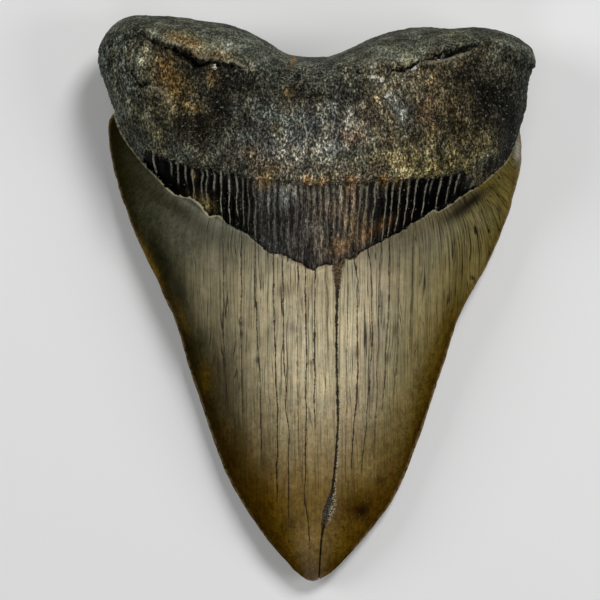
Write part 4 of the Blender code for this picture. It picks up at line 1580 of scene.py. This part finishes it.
@dataclass(frozen=True)
class RootFinish:
    """Weathered fossil root: black and pale grains side by side, olive and grey in broad patches, with painted
    highlights on the raised boss and ridges, painted glints on the grains and painted shade in the pits and
    cracks.
    """

    base: Gradient = Gradient((
        (-55, (88, 94, 86)), (-48, (84, 86, 74)), (-43, (78, 78, 64)), (-36, (74, 69, 50)),
        (-25, (60, 58, 46)), (-16, (76, 75, 64)), (-6, (80, 80, 68)), (4, (90, 88, 76)), (14, (86, 80, 64)),
        (26, (86, 78, 58)), (36, (70, 63, 45)), (44, (56, 53, 40)), (55, (48, 50, 44)),
    ))
    skin: Colour = paint(87, 90, 77)
    patches: tuple[Patch, ...] = (
        Patch(-0.1, 50.7, 15, 3.6, (36, 34, 27), 0.8), Patch(-12.9, 50.2, 5, 4, (48, 47, 40), 0.5),
        Patch(-28.6, 56.6, 3, 2.4, (42, 44, 32), 0.5), Patch(-19.7, 53.6, 5, 4, (34, 33, 28), 0.6),
        # The near-black patch at -23.7, 49.2 is painted shade in the broad pit there.
        Patch(-16.8, 42, 3.4, 3.2, (36, 34, 28), 0.8), Patch(-23.7, 49.2, 6.5, 6, (28, 28, 24), 0.85),
        Patch(-31.6, 42.8, 6.5, 4.5, (34, 32, 23), 0.8), Patch(44.7, 49.7, 6, 7, (21, 20, 14), 0.85),
        Patch(33.4, 43.3, 6, 3, (44, 38, 26), 0.45), Patch(27.6, 45.1, 0.9, 1.2, (18, 16, 12), 0.85),
        Patch(32.1, 43, 1, 0.9, (22, 18, 12), 0.8), Patch(34.9, 55.6, 2, 3, (34, 32, 26), 0.6),
        Patch(39.3, 48.2, 3, 6, (40, 38, 26), 0.6), Patch(49.6, 44.3, 2.5, 8, (24, 26, 20), 0.7),
        Patch(26.5, 39.9, 10, 3.5, (110, 102, 74), 0.5), Patch(26.5, 43.3, 4, 2, (60, 52, 38), 0.3),
        Patch(-47.3, 52.2, 4.5, 4, (44, 46, 38), 0.55), Patch(1.9, 57.9, 7, 1.8, (104, 106, 94), 0.6),
        # The pale grey patches at -3, 38.6 and on the next line at 8.8, 42.8 and -11.9, 34.9 are painted
        # highlight on the raised boss.
        Patch(-3, 38.6, 12, 4, (138, 139, 132), 0.8), Patch(-34, 36, 9, 2.6, (108, 108, 94), 0.7),
        Patch(8.8, 42.8, 4, 4, (132, 130, 120), 0.6), Patch(-11.9, 34.9, 9, 3.5, (116, 112, 102), 0.6),
        Patch(-16.3, 36.9, 2.4, 2, (140, 116, 84), 0.6), Patch(19.6, 34.9, 18, 3, (108, 98, 68), 0.55),
        Patch(-37.5, 56.1, 3.6, 6.5, (116, 88, 44), 0.75, 30), Patch(-41.4, 46.8, 5, 4.5, (82, 78, 56), 0.5),
        Patch(-47, 61.5, 4, 4.5, (104, 104, 88), 0.6), Patch(-41.8, 56.6, 3, 2.2, (34, 33, 25), 0.75),
        Patch(-20, 56.2, 4.6, 1.8, (30, 30, 25), 0.7), Patch(-21.6, 46.4, 3.6, 3, (28, 27, 23), 0.6),
        Patch(-32, 42.6, 5, 3, (30, 28, 20), 0.75), Patch(-11.6, 46.4, 3.6, 2.8, (98, 98, 90), 0.6),
        Patch(-32.5, 65, 4.5, 1.6, (118, 94, 56), 0.7, -15),
        Patch(-24.7, 61, 6, 1.4, (112, 94, 60), 0.6, -12), Patch(-25.9, 56.1, 1.5, 2.5, (110, 88, 50), 0.6),
        Patch(19.6, 50.7, 7, 6, (112, 106, 88), 0.6), Patch(25, 54.3, 6, 2.2, (140, 124, 92), 0.75),
        Patch(27.5, 48.2, 5, 4, (92, 66, 42), 0.45), Patch(14.7, 46.3, 2.2, 5, (96, 72, 42), 0.5),
        Patch(8.8, 40.6, 2.4, 2, (136, 102, 70), 0.75), Patch(-12.4, 33, 4, 2.4, (122, 98, 64), 0.6),
        Patch(30.4, 34.4, 10, 2.4, (114, 104, 60), 0.55), Patch(43.2, 38.9, 2.2, 4, (108, 100, 66), 0.6),
        # 21.4, 48.2 is painted highlight on the lit side of a fold, and 13.3, 48.7 painted shade on the dark
        # side of a ridge.
        Patch(21.4, 48.2, 2.4, 4.6, (140, 146, 144), 0.8, 20), Patch(13.3, 48.7, 1, 5, (36, 28, 18), 0.8, 8),
        # The pale grey patch at -0.1, 44.8 is painted highlight on the boss.
        Patch(24.3, 46.3, 0.8, 4.6, (40, 38, 32), 0.7, 32), Patch(-0.1, 44.8, 6, 2.6, (106, 110, 108), 0.6),
        Patch(-13.8, 47.2, 6, 4, (82, 82, 74), 0.5), Patch(36, 65.4, 6, 2.2, (66, 66, 52), 0.6),
        # The dark patch at -36.6, 61.2 is painted shade in the hollow below the crack there.
        Patch(-36.6, 61.2, 3.6, 1.3, (24, 23, 18), 0.7, -25),
        Patch(-31.6, 61.4, 2.6, 1, (136, 112, 74), 0.6, -20), Patch(19, 55.4, 7, 2.2, (128, 122, 102), 0.55),
        Patch(23.4, 51.2, 3, 2.6, (118, 108, 84), 0.6), Patch(13.4, 46.2, 2.4, 2.6, (124, 112, 92), 0.7),
        Patch(8.4, 51.2, 2.4, 2.2, (30, 28, 22), 0.5), Patch(-21.6, 51.4, 2.6, 1.8, (82, 80, 66), 0.6),
        # The pale grey patches at -6.6, 41 and -11.7, 36.2 are painted highlight on the boss.
        Patch(-6.6, 41, 2.6, 2.2, (160, 160, 152), 0.55), Patch(-11.7, 36.2, 2.8, 2.2, (146, 142, 130), 0.55),
        Patch(33.6, 41.2, 2.6, 2.2, (104, 92, 62), 0.6), Patch(18.6, 41.2, 2.2, 2.2, (112, 102, 78), 0.6),
        Patch(-37, 36.4, 2.8, 2.4, (118, 118, 102), 0.6), Patch(49.6, 38, 2.6, 5, (16, 17, 13), 0.7),
        Patch(-33.6, 64.8, 3.6, 1, (150, 120, 76), 0.7, -20), Patch(-5.9, 60.4, 0.6, 1.5, (112, 84, 40), 0.7),
        # The near-black patches at -5.7, 53.7 and -3.4, 52.8 are painted shade in the two pits there.
        Patch(-5.7, 53.7, 1.3, 0.9, (8, 8, 6), 0.9), Patch(-3.4, 52.8, 0.9, 0.7, (10, 10, 8), 0.9),
        Patch(-7, 52.2, 1, 1.2, (150, 120, 72), 0.7), Patch(-7, 42, 0.45, 9, (58, 50, 36), 0.6),
        Patch(-31, 48.2, 1.6, 1.2, (132, 114, 72), 0.65), Patch(42.8, 34, 6, 2.4, (17, 18, 13), 0.85, 32),
        Patch(39.6, 33.3, 0.5, 1.9, (158, 152, 126), 0.9), Patch(41.4, 34.6, 0.5, 1.7, (158, 152, 126), 0.9),
        Patch(43, 35.6, 0.4, 1.2, (130, 124, 96), 0.7), Patch(44.6, 37.4, 1.3, 1, (124, 118, 84), 0.6),
        Patch(43, 61.4, 5, 2.4, (104, 102, 84), 0.7), Patch(39, 46.4, 3.6, 3, (28, 25, 17), 0.7),
        Patch(28.6, 41.4, 3.2, 2.2, (56, 48, 34), 0.5), Patch(18.4, 46.4, 2.4, 2.8, (60, 54, 44), 0.5),
        Patch(49.6, 46, 3, 12, (24, 25, 19), 0.7), Patch(24, 36.2, 5, 2.4, (128, 118, 84), 0.6),
        # The pale grey patches at -1.5, 36.6 and 1.2, 46.9, and below at -11.9, 46.6 and 9, 42.4, are painted
        # highlight on the boss.
        Patch(-1.5, 36.6, 4, 2.6, (150, 149, 138), 0.5), Patch(1.2, 46.9, 4.6, 2.4, (116, 118, 112), 0.55),
        Patch(-11.9, 46.6, 3, 2.6, (112, 112, 102), 0.5), Patch(17, 56.4, 7, 2.2, (132, 126, 106), 0.5),
        Patch(24, 52, 3, 2.2, (146, 134, 108), 0.6), Patch(9, 42.4, 2.8, 2.4, (152, 142, 124), 0.5),
        Patch(18.8, 41.6, 2.8, 2.4, (126, 114, 88), 0.6), Patch(24.2, 36.6, 3.6, 2.2, (150, 138, 100), 0.6),
        Patch(-42.3, 44.5, 3, 4, (98, 94, 70), 0.5), Patch(-48.4, 57, 2.6, 5, (100, 102, 90), 0.55),
        # The dark patches at -33.6, 58.6 and, on the next line, -39.8, 64.2 are painted shade in the hollow
        # below the crack.
        Patch(-19.4, 55, 5, 2.4, (26, 26, 22), 0.5), Patch(-33.6, 58.6, 3.4, 1.5, (30, 32, 26), 0.75, -28),
        Patch(-39.8, 64.2, 3.2, 0.8, (20, 20, 16), 0.7, -30), Patch(4.9, 31, 17, 2, (146, 136, 114), 0.75),
        Patch(-12.9, 30.4, 1.6, 1.2, (196, 158, 100), 0.8), Patch(-2.2, 29.8, 1.3, 1.3, (200, 152, 92), 0.8),
        Patch(1.3, 29.7, 1.3, 1.3, (204, 158, 100), 0.8), Patch(8.6, 29.5, 1.6, 1.6, (176, 132, 84), 0.8),
        Patch(16.9, 30.4, 1.3, 1.2, (188, 148, 84), 0.8), Patch(20.4, 30.5, 1.2, 1.1, (184, 150, 88), 0.8),
        Patch(28.4, 31.6, 6, 2, (156, 144, 96), 0.85), Patch(-45.3, 38.4, 3, 6, (34, 36, 30), 0.7, 35),
    )
    outer: Colour = paint(86, 82, 64)
    warm: Colour = (1.03, 0.98, 0.84)
    cool: Colour = (0.9, 0.99, 1.02)
    rust: Colour = (1.12, 0.86, 0.68)
    pale: Colour = paint(168, 166, 150)
    lip: Colour = paint(178, 160, 124)
    chalk: Colour = paint(246, 246, 238)
    # Near black for the painted shade inside the open cracks.
    hollow: Colour = paint(8, 8, 6)
    contrast: Point = (12.0, 6.8)
    grit: tuple[Point, Point] = ((-1.2, -0.85), (1.2, 0.85))
    lightness: Point = (0.8, 1.16)
    relief: float = 3.0
    gloss: float = 0.55
    shine: float = 0.07

    def tone(self, spots: Spots, over_skin: Array) -> Array:
        """The broad colour of every point.

        Args:
            spots: The points' places.
            over_skin: Distance inside the basal skin.

        Returns:
            Rows of red, green and blue.
        """
        skin = (0.75 * rise(-0.5, 2.0, over_skin))[:, None]
        tone = self.base.at(spots.x) * (1 - skin) + np.array(self.skin) * skin
        tone = tone * (0.45 + 0.6 * rise(0, 10, spots.from_base))[:, None]
        tone = laid_over(tone, self.patches, spots)
        return np.where(spots.inner[:, None], tone, np.array(self.outer))

    def coat(self, board: NodeBoard) -> Coat:
        """Lays the finish out as nodes.

        Args:
            board: The material.

        Returns:
            The coat.
        """
        place = board.add("ShaderNodeTexCoord", {}).outputs["Object"]
        tall = board.stretched(place, (1.0, 0.55, 1.0))
        skin = board.rise(board.number("over_skin"), 0.0, 3.4)
        grains = board.noise(tall, 2100.0, 1.0, 0.7)
        rough = board.noise(tall, 230.0, 6.0, 0.92)
        smooth = board.noise(board.stretched(place, (0.55, 1.0, 1.0)), 300.0, 5.0, 0.75)
        light = board.sum("SUBTRACT", board.blend(skin, rough, smooth), 0.5)
        light = board.times(light, board.blend(skin, *self.contrast))
        grit = board.rise(grains, 0.3, 0.7, *(board.blend(skin, *ends) for ends in self.grit))
        light = board.sum("EXPONENT", board.plus(light, grit))
        light = board.times(light, board.blend(skin, *self.lightness))
        colour = board.lit(board.colour("root_tone"), light)
        hue = board.noise(tall, 260.0, 3.0, 0.65)
        warmed = board.rise(hue, 0.5, 0.62, 0.0, board.blend(skin, 1.0, 0.4))
        colour = board.mix(warmed, colour, self.warm, Blend.MULTIPLY)
        colour = board.mix(board.rise(hue, 0.5, 0.38), colour, self.cool, Blend.MULTIPLY)
        rust = board.noise(place, 340.0, 4.0, 0.75)
        rust = board.rise(rust, 0.57, 0.68, 0.0, board.blend(skin, 0.6, 0.1))
        colour = board.mix(rust, colour, self.rust, Blend.MULTIPLY)
        # Painted highlight: tiny pale glints on the grains, mixed into the colour.
        painted_glints = board.noise(place, 1500.0, 1.0, 0.5)
        painted_glints = board.rise(painted_glints, 0.64, 0.74, 0.0, board.blend(skin, 0.6, 0.15))
        colour = board.mix(painted_glints, colour, self.pale)
        ragged = board.noise(place, 1000.0, 3.0, 0.7)
        worn = board.times(board.number("pale_lips"), board.rise(ragged, 0.43, 0.56, 0.0, 0.95))
        colour = board.mix(worn, colour, board.mix(board.rise(rough, 0.44, 0.54), self.lip, self.pale))
        chalky = board.plus(board.number("chalk"), board.rise(ragged, 0.35, 0.65, -0.3, 0.3))
        chalky = board.rise(chalky, 0.5, 0.65)
        colour = board.mix(board.times(chalky, 0.95), colour, self.chalk)
        # Inside the open cracks the colour darkens towards near black: painted shade in their depths.
        ratio = board.plus(board.number("root_crack"), board.rise(ragged, 0.4, 0.6, -0.4, 0.4))
        ratio = board.plus(ratio, board.rise(rough, 0.42, 0.58, 0.3, -0.3))
        colour = board.lit(colour, board.rise(ratio, 1.15, 0.7, 1.0, 0.3))
        colour = board.mix(board.rise(ratio, 0.7, 0.3), colour, self.hollow)
        roughness = board.blend(grains, self.gloss + 0.2, self.gloss - 0.15)
        height = board.times(board.rise(grains, 0.3, 0.7), board.blend(skin, 0.16, 0.08))
        bulk = board.blend(skin, rough, board.times(smooth, 0.5))
        height = board.plus(height, board.times(bulk, self.relief))
        return Coat(colour, roughness, height, self.shine)


@dataclass(frozen=True)
class FossilFinish:
    """The tooth's one material: enamel, band and root meet along ragged lines."""

    enamel: EnamelFinish = EnamelFinish()
    band: BandFinish = BandFinish()
    root: RootFinish = RootFinish()

    def material(self) -> bpy.types.Material:
        """Lays the three finishes side by side.

        Returns:
            The material.
        """
        board = NodeBoard("fossil_tooth")
        enamel, band, root = (finish.coat(board) for finish in (self.enamel, self.band, self.root))
        place = board.add("ShaderNodeTexCoord", {}).outputs["Object"]
        ragged = board.noise(place, 900.0, 3.0, 0.65)
        fringe = board.streaks(place, (1200.0, 320.0, 600.0), 2.0, 0.6)
        over_band = board.plus(board.number("over_band"), board.rise(fringe, 0.3, 0.7, -0.6, 0.9))
        over_enamel = board.plus(board.number("over_enamel"), board.rise(ragged, 0.25, 0.75, -0.3, 0.3))
        rooted = board.rise(over_band, -0.15, 0.25)
        enamelled = board.rise(over_enamel, 0.12, -0.12)
        colour = board.mix(enamelled, board.mix(rooted, band.colour, root.colour), enamel.colour)
        roughness = board.blend(rooted, band.roughness, root.roughness)
        roughness = board.blend(enamelled, roughness, enamel.roughness)
        height = board.blend(enamelled, board.blend(rooted, band.height, root.height), enamel.height)
        shine = board.blend(enamelled, board.blend(rooted, band.shine, root.shine), enamel.shine)
        bump = board.add("ShaderNodeBump", {"Height": height, "Distance": MM, "Strength": 1.0}).outputs[0]
        shader = board.add("ShaderNodeBsdfPrincipled", {
            "Base Color": colour, "Roughness": roughness, "Specular IOR Level": shine, "Normal": bump,
        })
        board.add("ShaderNodeOutputMaterial", {"Surface": shader.outputs[0]})
        return board.material


@dataclass
class Tooth:
    """The whole tooth as one closed mesh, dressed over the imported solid's own place and size."""

    outline: Outline = field(default_factory=Outline)
    form: Form = field(default_factory=Form)
    blade: Blade = field(default_factory=Blade)
    band: Band = field(default_factory=Band)
    root: Root = field(default_factory=Root)
    finish: FossilFinish = field(default_factory=FossilFinish)
    columns: int = 170
    rows: tuple[int, int, int] = (55, 20, 35)
    weld_gap: float = 1e-5
    seed: int = 7

    def sheets(self) -> bpy.types.Object:
        """Two flat sheets joined along their border, the upper one with twice as many faces each way.

        Returns:
            The joined sheets.
        """
        bpy.ops.object.select_all(action="DESELECT")
        made = []
        for lift in (1.0, -1.0):
            rows = sum(self.rows)
            bpy.ops.mesh.primitive_grid_add(x_subdivisions=self.columns, y_subdivisions=rows, size=2)
            sheet = bpy.context.object
            for vertex in sheet.data.vertices:
                if max(abs(vertex.co.x), abs(vertex.co.y)) < 1 - NEAR:
                    vertex.co.z = lift
            made.append(sheet)
        for sheet in made:
            sheet.select_set(True)
        bpy.context.view_layer.objects.active = made[0]
        bpy.ops.object.join()
        pillow = bpy.context.object
        bpy.ops.object.mode_set(mode="EDIT")
        bpy.ops.mesh.select_mode(type="FACE")
        bpy.ops.mesh.select_all(action="SELECT")
        bpy.ops.mesh.remove_doubles(threshold=self.weld_gap)
        bpy.ops.mesh.select_all(action="DESELECT")
        bpy.ops.object.mode_set(mode="OBJECT")
        for face in pillow.data.polygons:
            face.select = face.center.z > 0
        bpy.ops.object.mode_set(mode="EDIT")
        bpy.ops.mesh.subdivide(number_cuts=1)
        bpy.ops.mesh.select_all(action="DESELECT")
        bpy.ops.mesh.select_face_by_sides(number=4, type="GREATER")
        bpy.ops.mesh.quads_convert_to_tris(ngon_method="BEAUTY")
        bpy.ops.object.mode_set(mode="OBJECT")
        return pillow

    def build(self) -> bpy.types.Object:
        """Shapes the sheets into the tooth and gives them their finish.

        Returns:
            The tooth.
        """
        tooth = self.sheets()
        tooth.name = tooth.data.name = "megalodon_tooth"
        mesh = tooth.data
        flat = np.zeros(len(mesh.vertices) * 3)
        mesh.vertices.foreach_get("co", flat)
        flat = flat.reshape(-1, 3)
        face = np.where(flat[:, 2] > NEAR, 1, np.where(flat[:, 2] < -NEAR, -1, 0))
        spots = self.outline.spots((flat[:, 0] + 1) / 2, (flat[:, 1] + 1) / 2, face, self.rows)
        cast = Roughcast(self.seed)
        spots.x = spots.x + self.blade.worn_edge(spots, self.outline, cast)
        spots.z = self.form.heights(spots, self.outline)
        size = self.fit(spots)
        self.place(mesh, spots.place)
        over_enamel = self.outline.over_enamel(spots)
        over_band = self.outline.over_band(spots)
        self.carve(tooth, spots, cast, over_enamel, over_band)
        self.mark(mesh, spots, cast, over_enamel, over_band)
        mesh.shade_smooth()
        mesh.materials.append(self.finish.material())
        log.info("%s: %d faces, %.1f x %.1f x %.1f mm", tooth.name, len(mesh.polygons), *size)
        return tooth

    def fit(self, spots: Spots) -> Array:
        """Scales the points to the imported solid's box.

        Args:
            spots: The points' places, changed in place.

        Returns:
            The box's size in millimetres.
        """
        low, high = (np.array(corner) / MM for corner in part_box(NODE))
        for axis, values in enumerate((spots.x, spots.y)):
            values *= (high - low)[axis] / (values.max() - values.min())
            values += low[axis] - values.min()
        spots.z *= high[2] / spots.z.max()
        return high - low

    @staticmethod
    def place(mesh: bpy.types.Mesh, millimetres: Array) -> None:
        """Moves the mesh's points to these places."""
        mesh.vertices.foreach_set("co", (millimetres * MM).ravel())
        mesh.update()

    def carve(
        self, tooth: bpy.types.Object, spots: Spots, cast: Roughcast, over_enamel: Array, over_band: Array
    ) -> None:
        """Raises and sinks the surface by the fine relief of enamel, band and root.

        Args:
            tooth: The tooth.
            spots: The points' places.
            cast: The unevenness to use.
            over_enamel: Distance past the enamel's edge.
            over_band: Distance past the top of the band.
        """
        bpy.ops.object.mode_set(mode="EDIT")
        bpy.ops.mesh.select_all(action="SELECT")
        bpy.ops.mesh.normals_make_consistent(inside=False)
        bpy.ops.object.mode_set(mode="OBJECT")
        mesh = tooth.data
        normals = np.zeros(len(mesh.vertices) * 3)
        mesh.vertices.foreach_get("normal", normals)
        enamelled = 1 - rise(-0.25, 0.25, over_enamel)
        rooted = rise(-0.3, 0.5, over_band)
        relief = self.blade.relief(spots, cast, over_enamel) * enamelled
        relief += self.band.relief(spots, cast, over_band) * (1 - enamelled) * (1 - rooted)
        relief += self.root.relief(spots, cast) * rooted * (1 - enamelled)
        place = spots.place + relief[:, None] * normals.reshape(-1, 3)
        place[:, 2] = np.maximum(place[:, 2], 0)
        self.place(mesh, place)

    def mark(
        self, mesh: bpy.types.Mesh, spots: Spots, cast: Roughcast, over_enamel: Array, over_band: Array
    ) -> None:
        """Writes what the finish reads onto the mesh.

        Args:
            mesh: The tooth's mesh.
            spots: The points' places.
            cast: The unevenness to use.
            over_enamel: Distance past the enamel's edge.
            over_band: Distance past the top of the band.
        """
        over_skin = self.root.over_skin(spots, cast)
        blade = self.blade
        band_ends = rise(37, 41, spots.x) + 1 - rise(-46, -42, spots.x)
        numbers = {
            "over_enamel": over_enamel,
            "over_band": over_band + 6 * band_ends,
            "over_skin": over_skin,
            "main_crack": blade.main_crack_ratio(spots),
            "root_crack": self.root.crack_ratio(spots, cast),
            "pocket": self.band.pocket(spots),
            "chalk": self.root.chalk(spots),
            "pale_lips": self.root.lips(spots),
            "flecks": blade.flecks(spots),
            "sheen": blade.sheen(spots),
            "combed": blade.combed(spots),
            "lip": blade.pale_lip(spots),
            "dust": blade.dust(spots),
            "rim": bell(self.outline.from_edge(spots), 0.5) * spots.inner * rise(-66, -60, spots.y),
            "filled": rise(0.4, 0.8, blade.main_width.reading(spots.y)),
        }
        vectors = {
            "fibre": np.column_stack([blade.fibre(spots), spots.y, spots.z]),
            "hairlines": blade.hairline_fields(spots),
            "ribs": self.band.rib_fields(spots, over_band, cast),
        }
        colours = {
            "enamel_tone": self.finish.enamel.tone(spots, cast),
            "band_tone": self.finish.band.tone(spots),
            "root_tone": self.finish.root.tone(spots, over_skin),
        }
        for name, values in numbers.items():
            mesh.attributes.new(name, "FLOAT", "POINT").data.foreach_set("value", values)
        for name, values in vectors.items():
            mesh.attributes.new(name, "FLOAT_VECTOR", "POINT").data.foreach_set("vector", values.ravel())
        for name, values in colours.items():
            rows = np.column_stack([values, np.ones(len(values))])
            mesh.attributes.new(name, "FLOAT_COLOR", "POINT").data.foreach_set("color", rows.ravel())


@dataclass(frozen=True)
class Lamp:
    """A square soft light that faces the tooth: its place and side in metres, and its watts."""

    name: str
    place: tuple[float, float, float]
    side: float
    power: float


@dataclass
class Studio:
    """A pale floor, soft lights all round and a camera that looks straight down."""

    floor_tone: Colour = paint(236, 236, 236)
    floor_side: float = 4.0
    floor_roughness: float = 0.9
    lamps: tuple[Lamp, ...] = (
        Lamp("key", (0.45, 0.85, 0.95), 0.4, 11.0),
        Lamp("left", (-0.95, 0.3, 0.6), 0.5, 4.6),
        Lamp("right", (0.95, -0.1, 0.6), 0.5, 3.5),
        Lamp("front", (-0.2, -1.15, 0.5), 0.5, 3.6),
    )
    world_light: float = 0.06
    camera_height: float = 1.2
    view_side: float = 0.1528
    view_level: float = 0.007
    aim: Point = (-0.0041, 0.0)
    sensor: float = 36.0

    def floor(self) -> None:
        """A plain pale floor under the tooth."""
        bpy.ops.object.select_all(action="DESELECT")
        bpy.ops.mesh.primitive_plane_add(size=self.floor_side)
        floor = bpy.context.object
        floor.name = "floor"
        board = NodeBoard("floor")
        inputs = {"Base Color": (*self.floor_tone, 1.0), "Roughness": self.floor_roughness}
        shader = board.add("ShaderNodeBsdfPrincipled", inputs)
        board.add("ShaderNodeOutputMaterial", {"Surface": shader.outputs[0]})
        floor.data.materials.append(board.material)

    def light(self) -> None:
        """Soft lights on every side, and a dim even light from everywhere."""
        for lamp in self.lamps:
            bpy.ops.object.light_add(type="AREA", location=lamp.place)
            light = bpy.context.object
            light.name = lamp.name
            light.rotation_euler = Vector(lamp.place).to_track_quat("Z", "Y").to_euler()
            light.data.shape = "SQUARE"
            light.data.size = lamp.side
            light.data.energy = lamp.power
        world = bpy.data.worlds.new("studio")
        world.use_nodes = True
        background = world.node_tree.nodes["Background"]
        background.inputs["Color"].default_value = (1.0, 1.0, 1.0, 1.0)
        background.inputs["Strength"].default_value = self.world_light
        bpy.context.scene.world = world
        bpy.context.scene.view_settings.view_transform = "Standard"

    def camera(self) -> None:
        """A camera straight above the tooth, with a long lens."""
        distance = self.camera_height - self.view_level
        bpy.ops.object.camera_add(location=(*self.aim, self.camera_height), rotation=(0.0, 0.0, 0.0))
        camera = bpy.context.object
        camera.data.sensor_width = self.sensor
        camera.data.lens = self.sensor * distance / self.view_side
        camera.data.clip_end = 20.0
        bpy.context.scene.camera = camera
        log.info("camera: %.0f mm lens at %.2f m", camera.data.lens, self.camera_height)

    def set_up(self) -> None:
        """Places floor, lights and camera."""
        self.floor()
        self.light()
        self.camera()


def main() -> None:
    """Builds the tooth and its studio."""
    logging.basicConfig(level=logging.INFO, format="%(name)s: %(message)s")
    tooth = Tooth().build()
    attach(tooth, BODY)
    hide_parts(NODE)
    Studio().set_up()


if __name__ == "__main__":
    main()
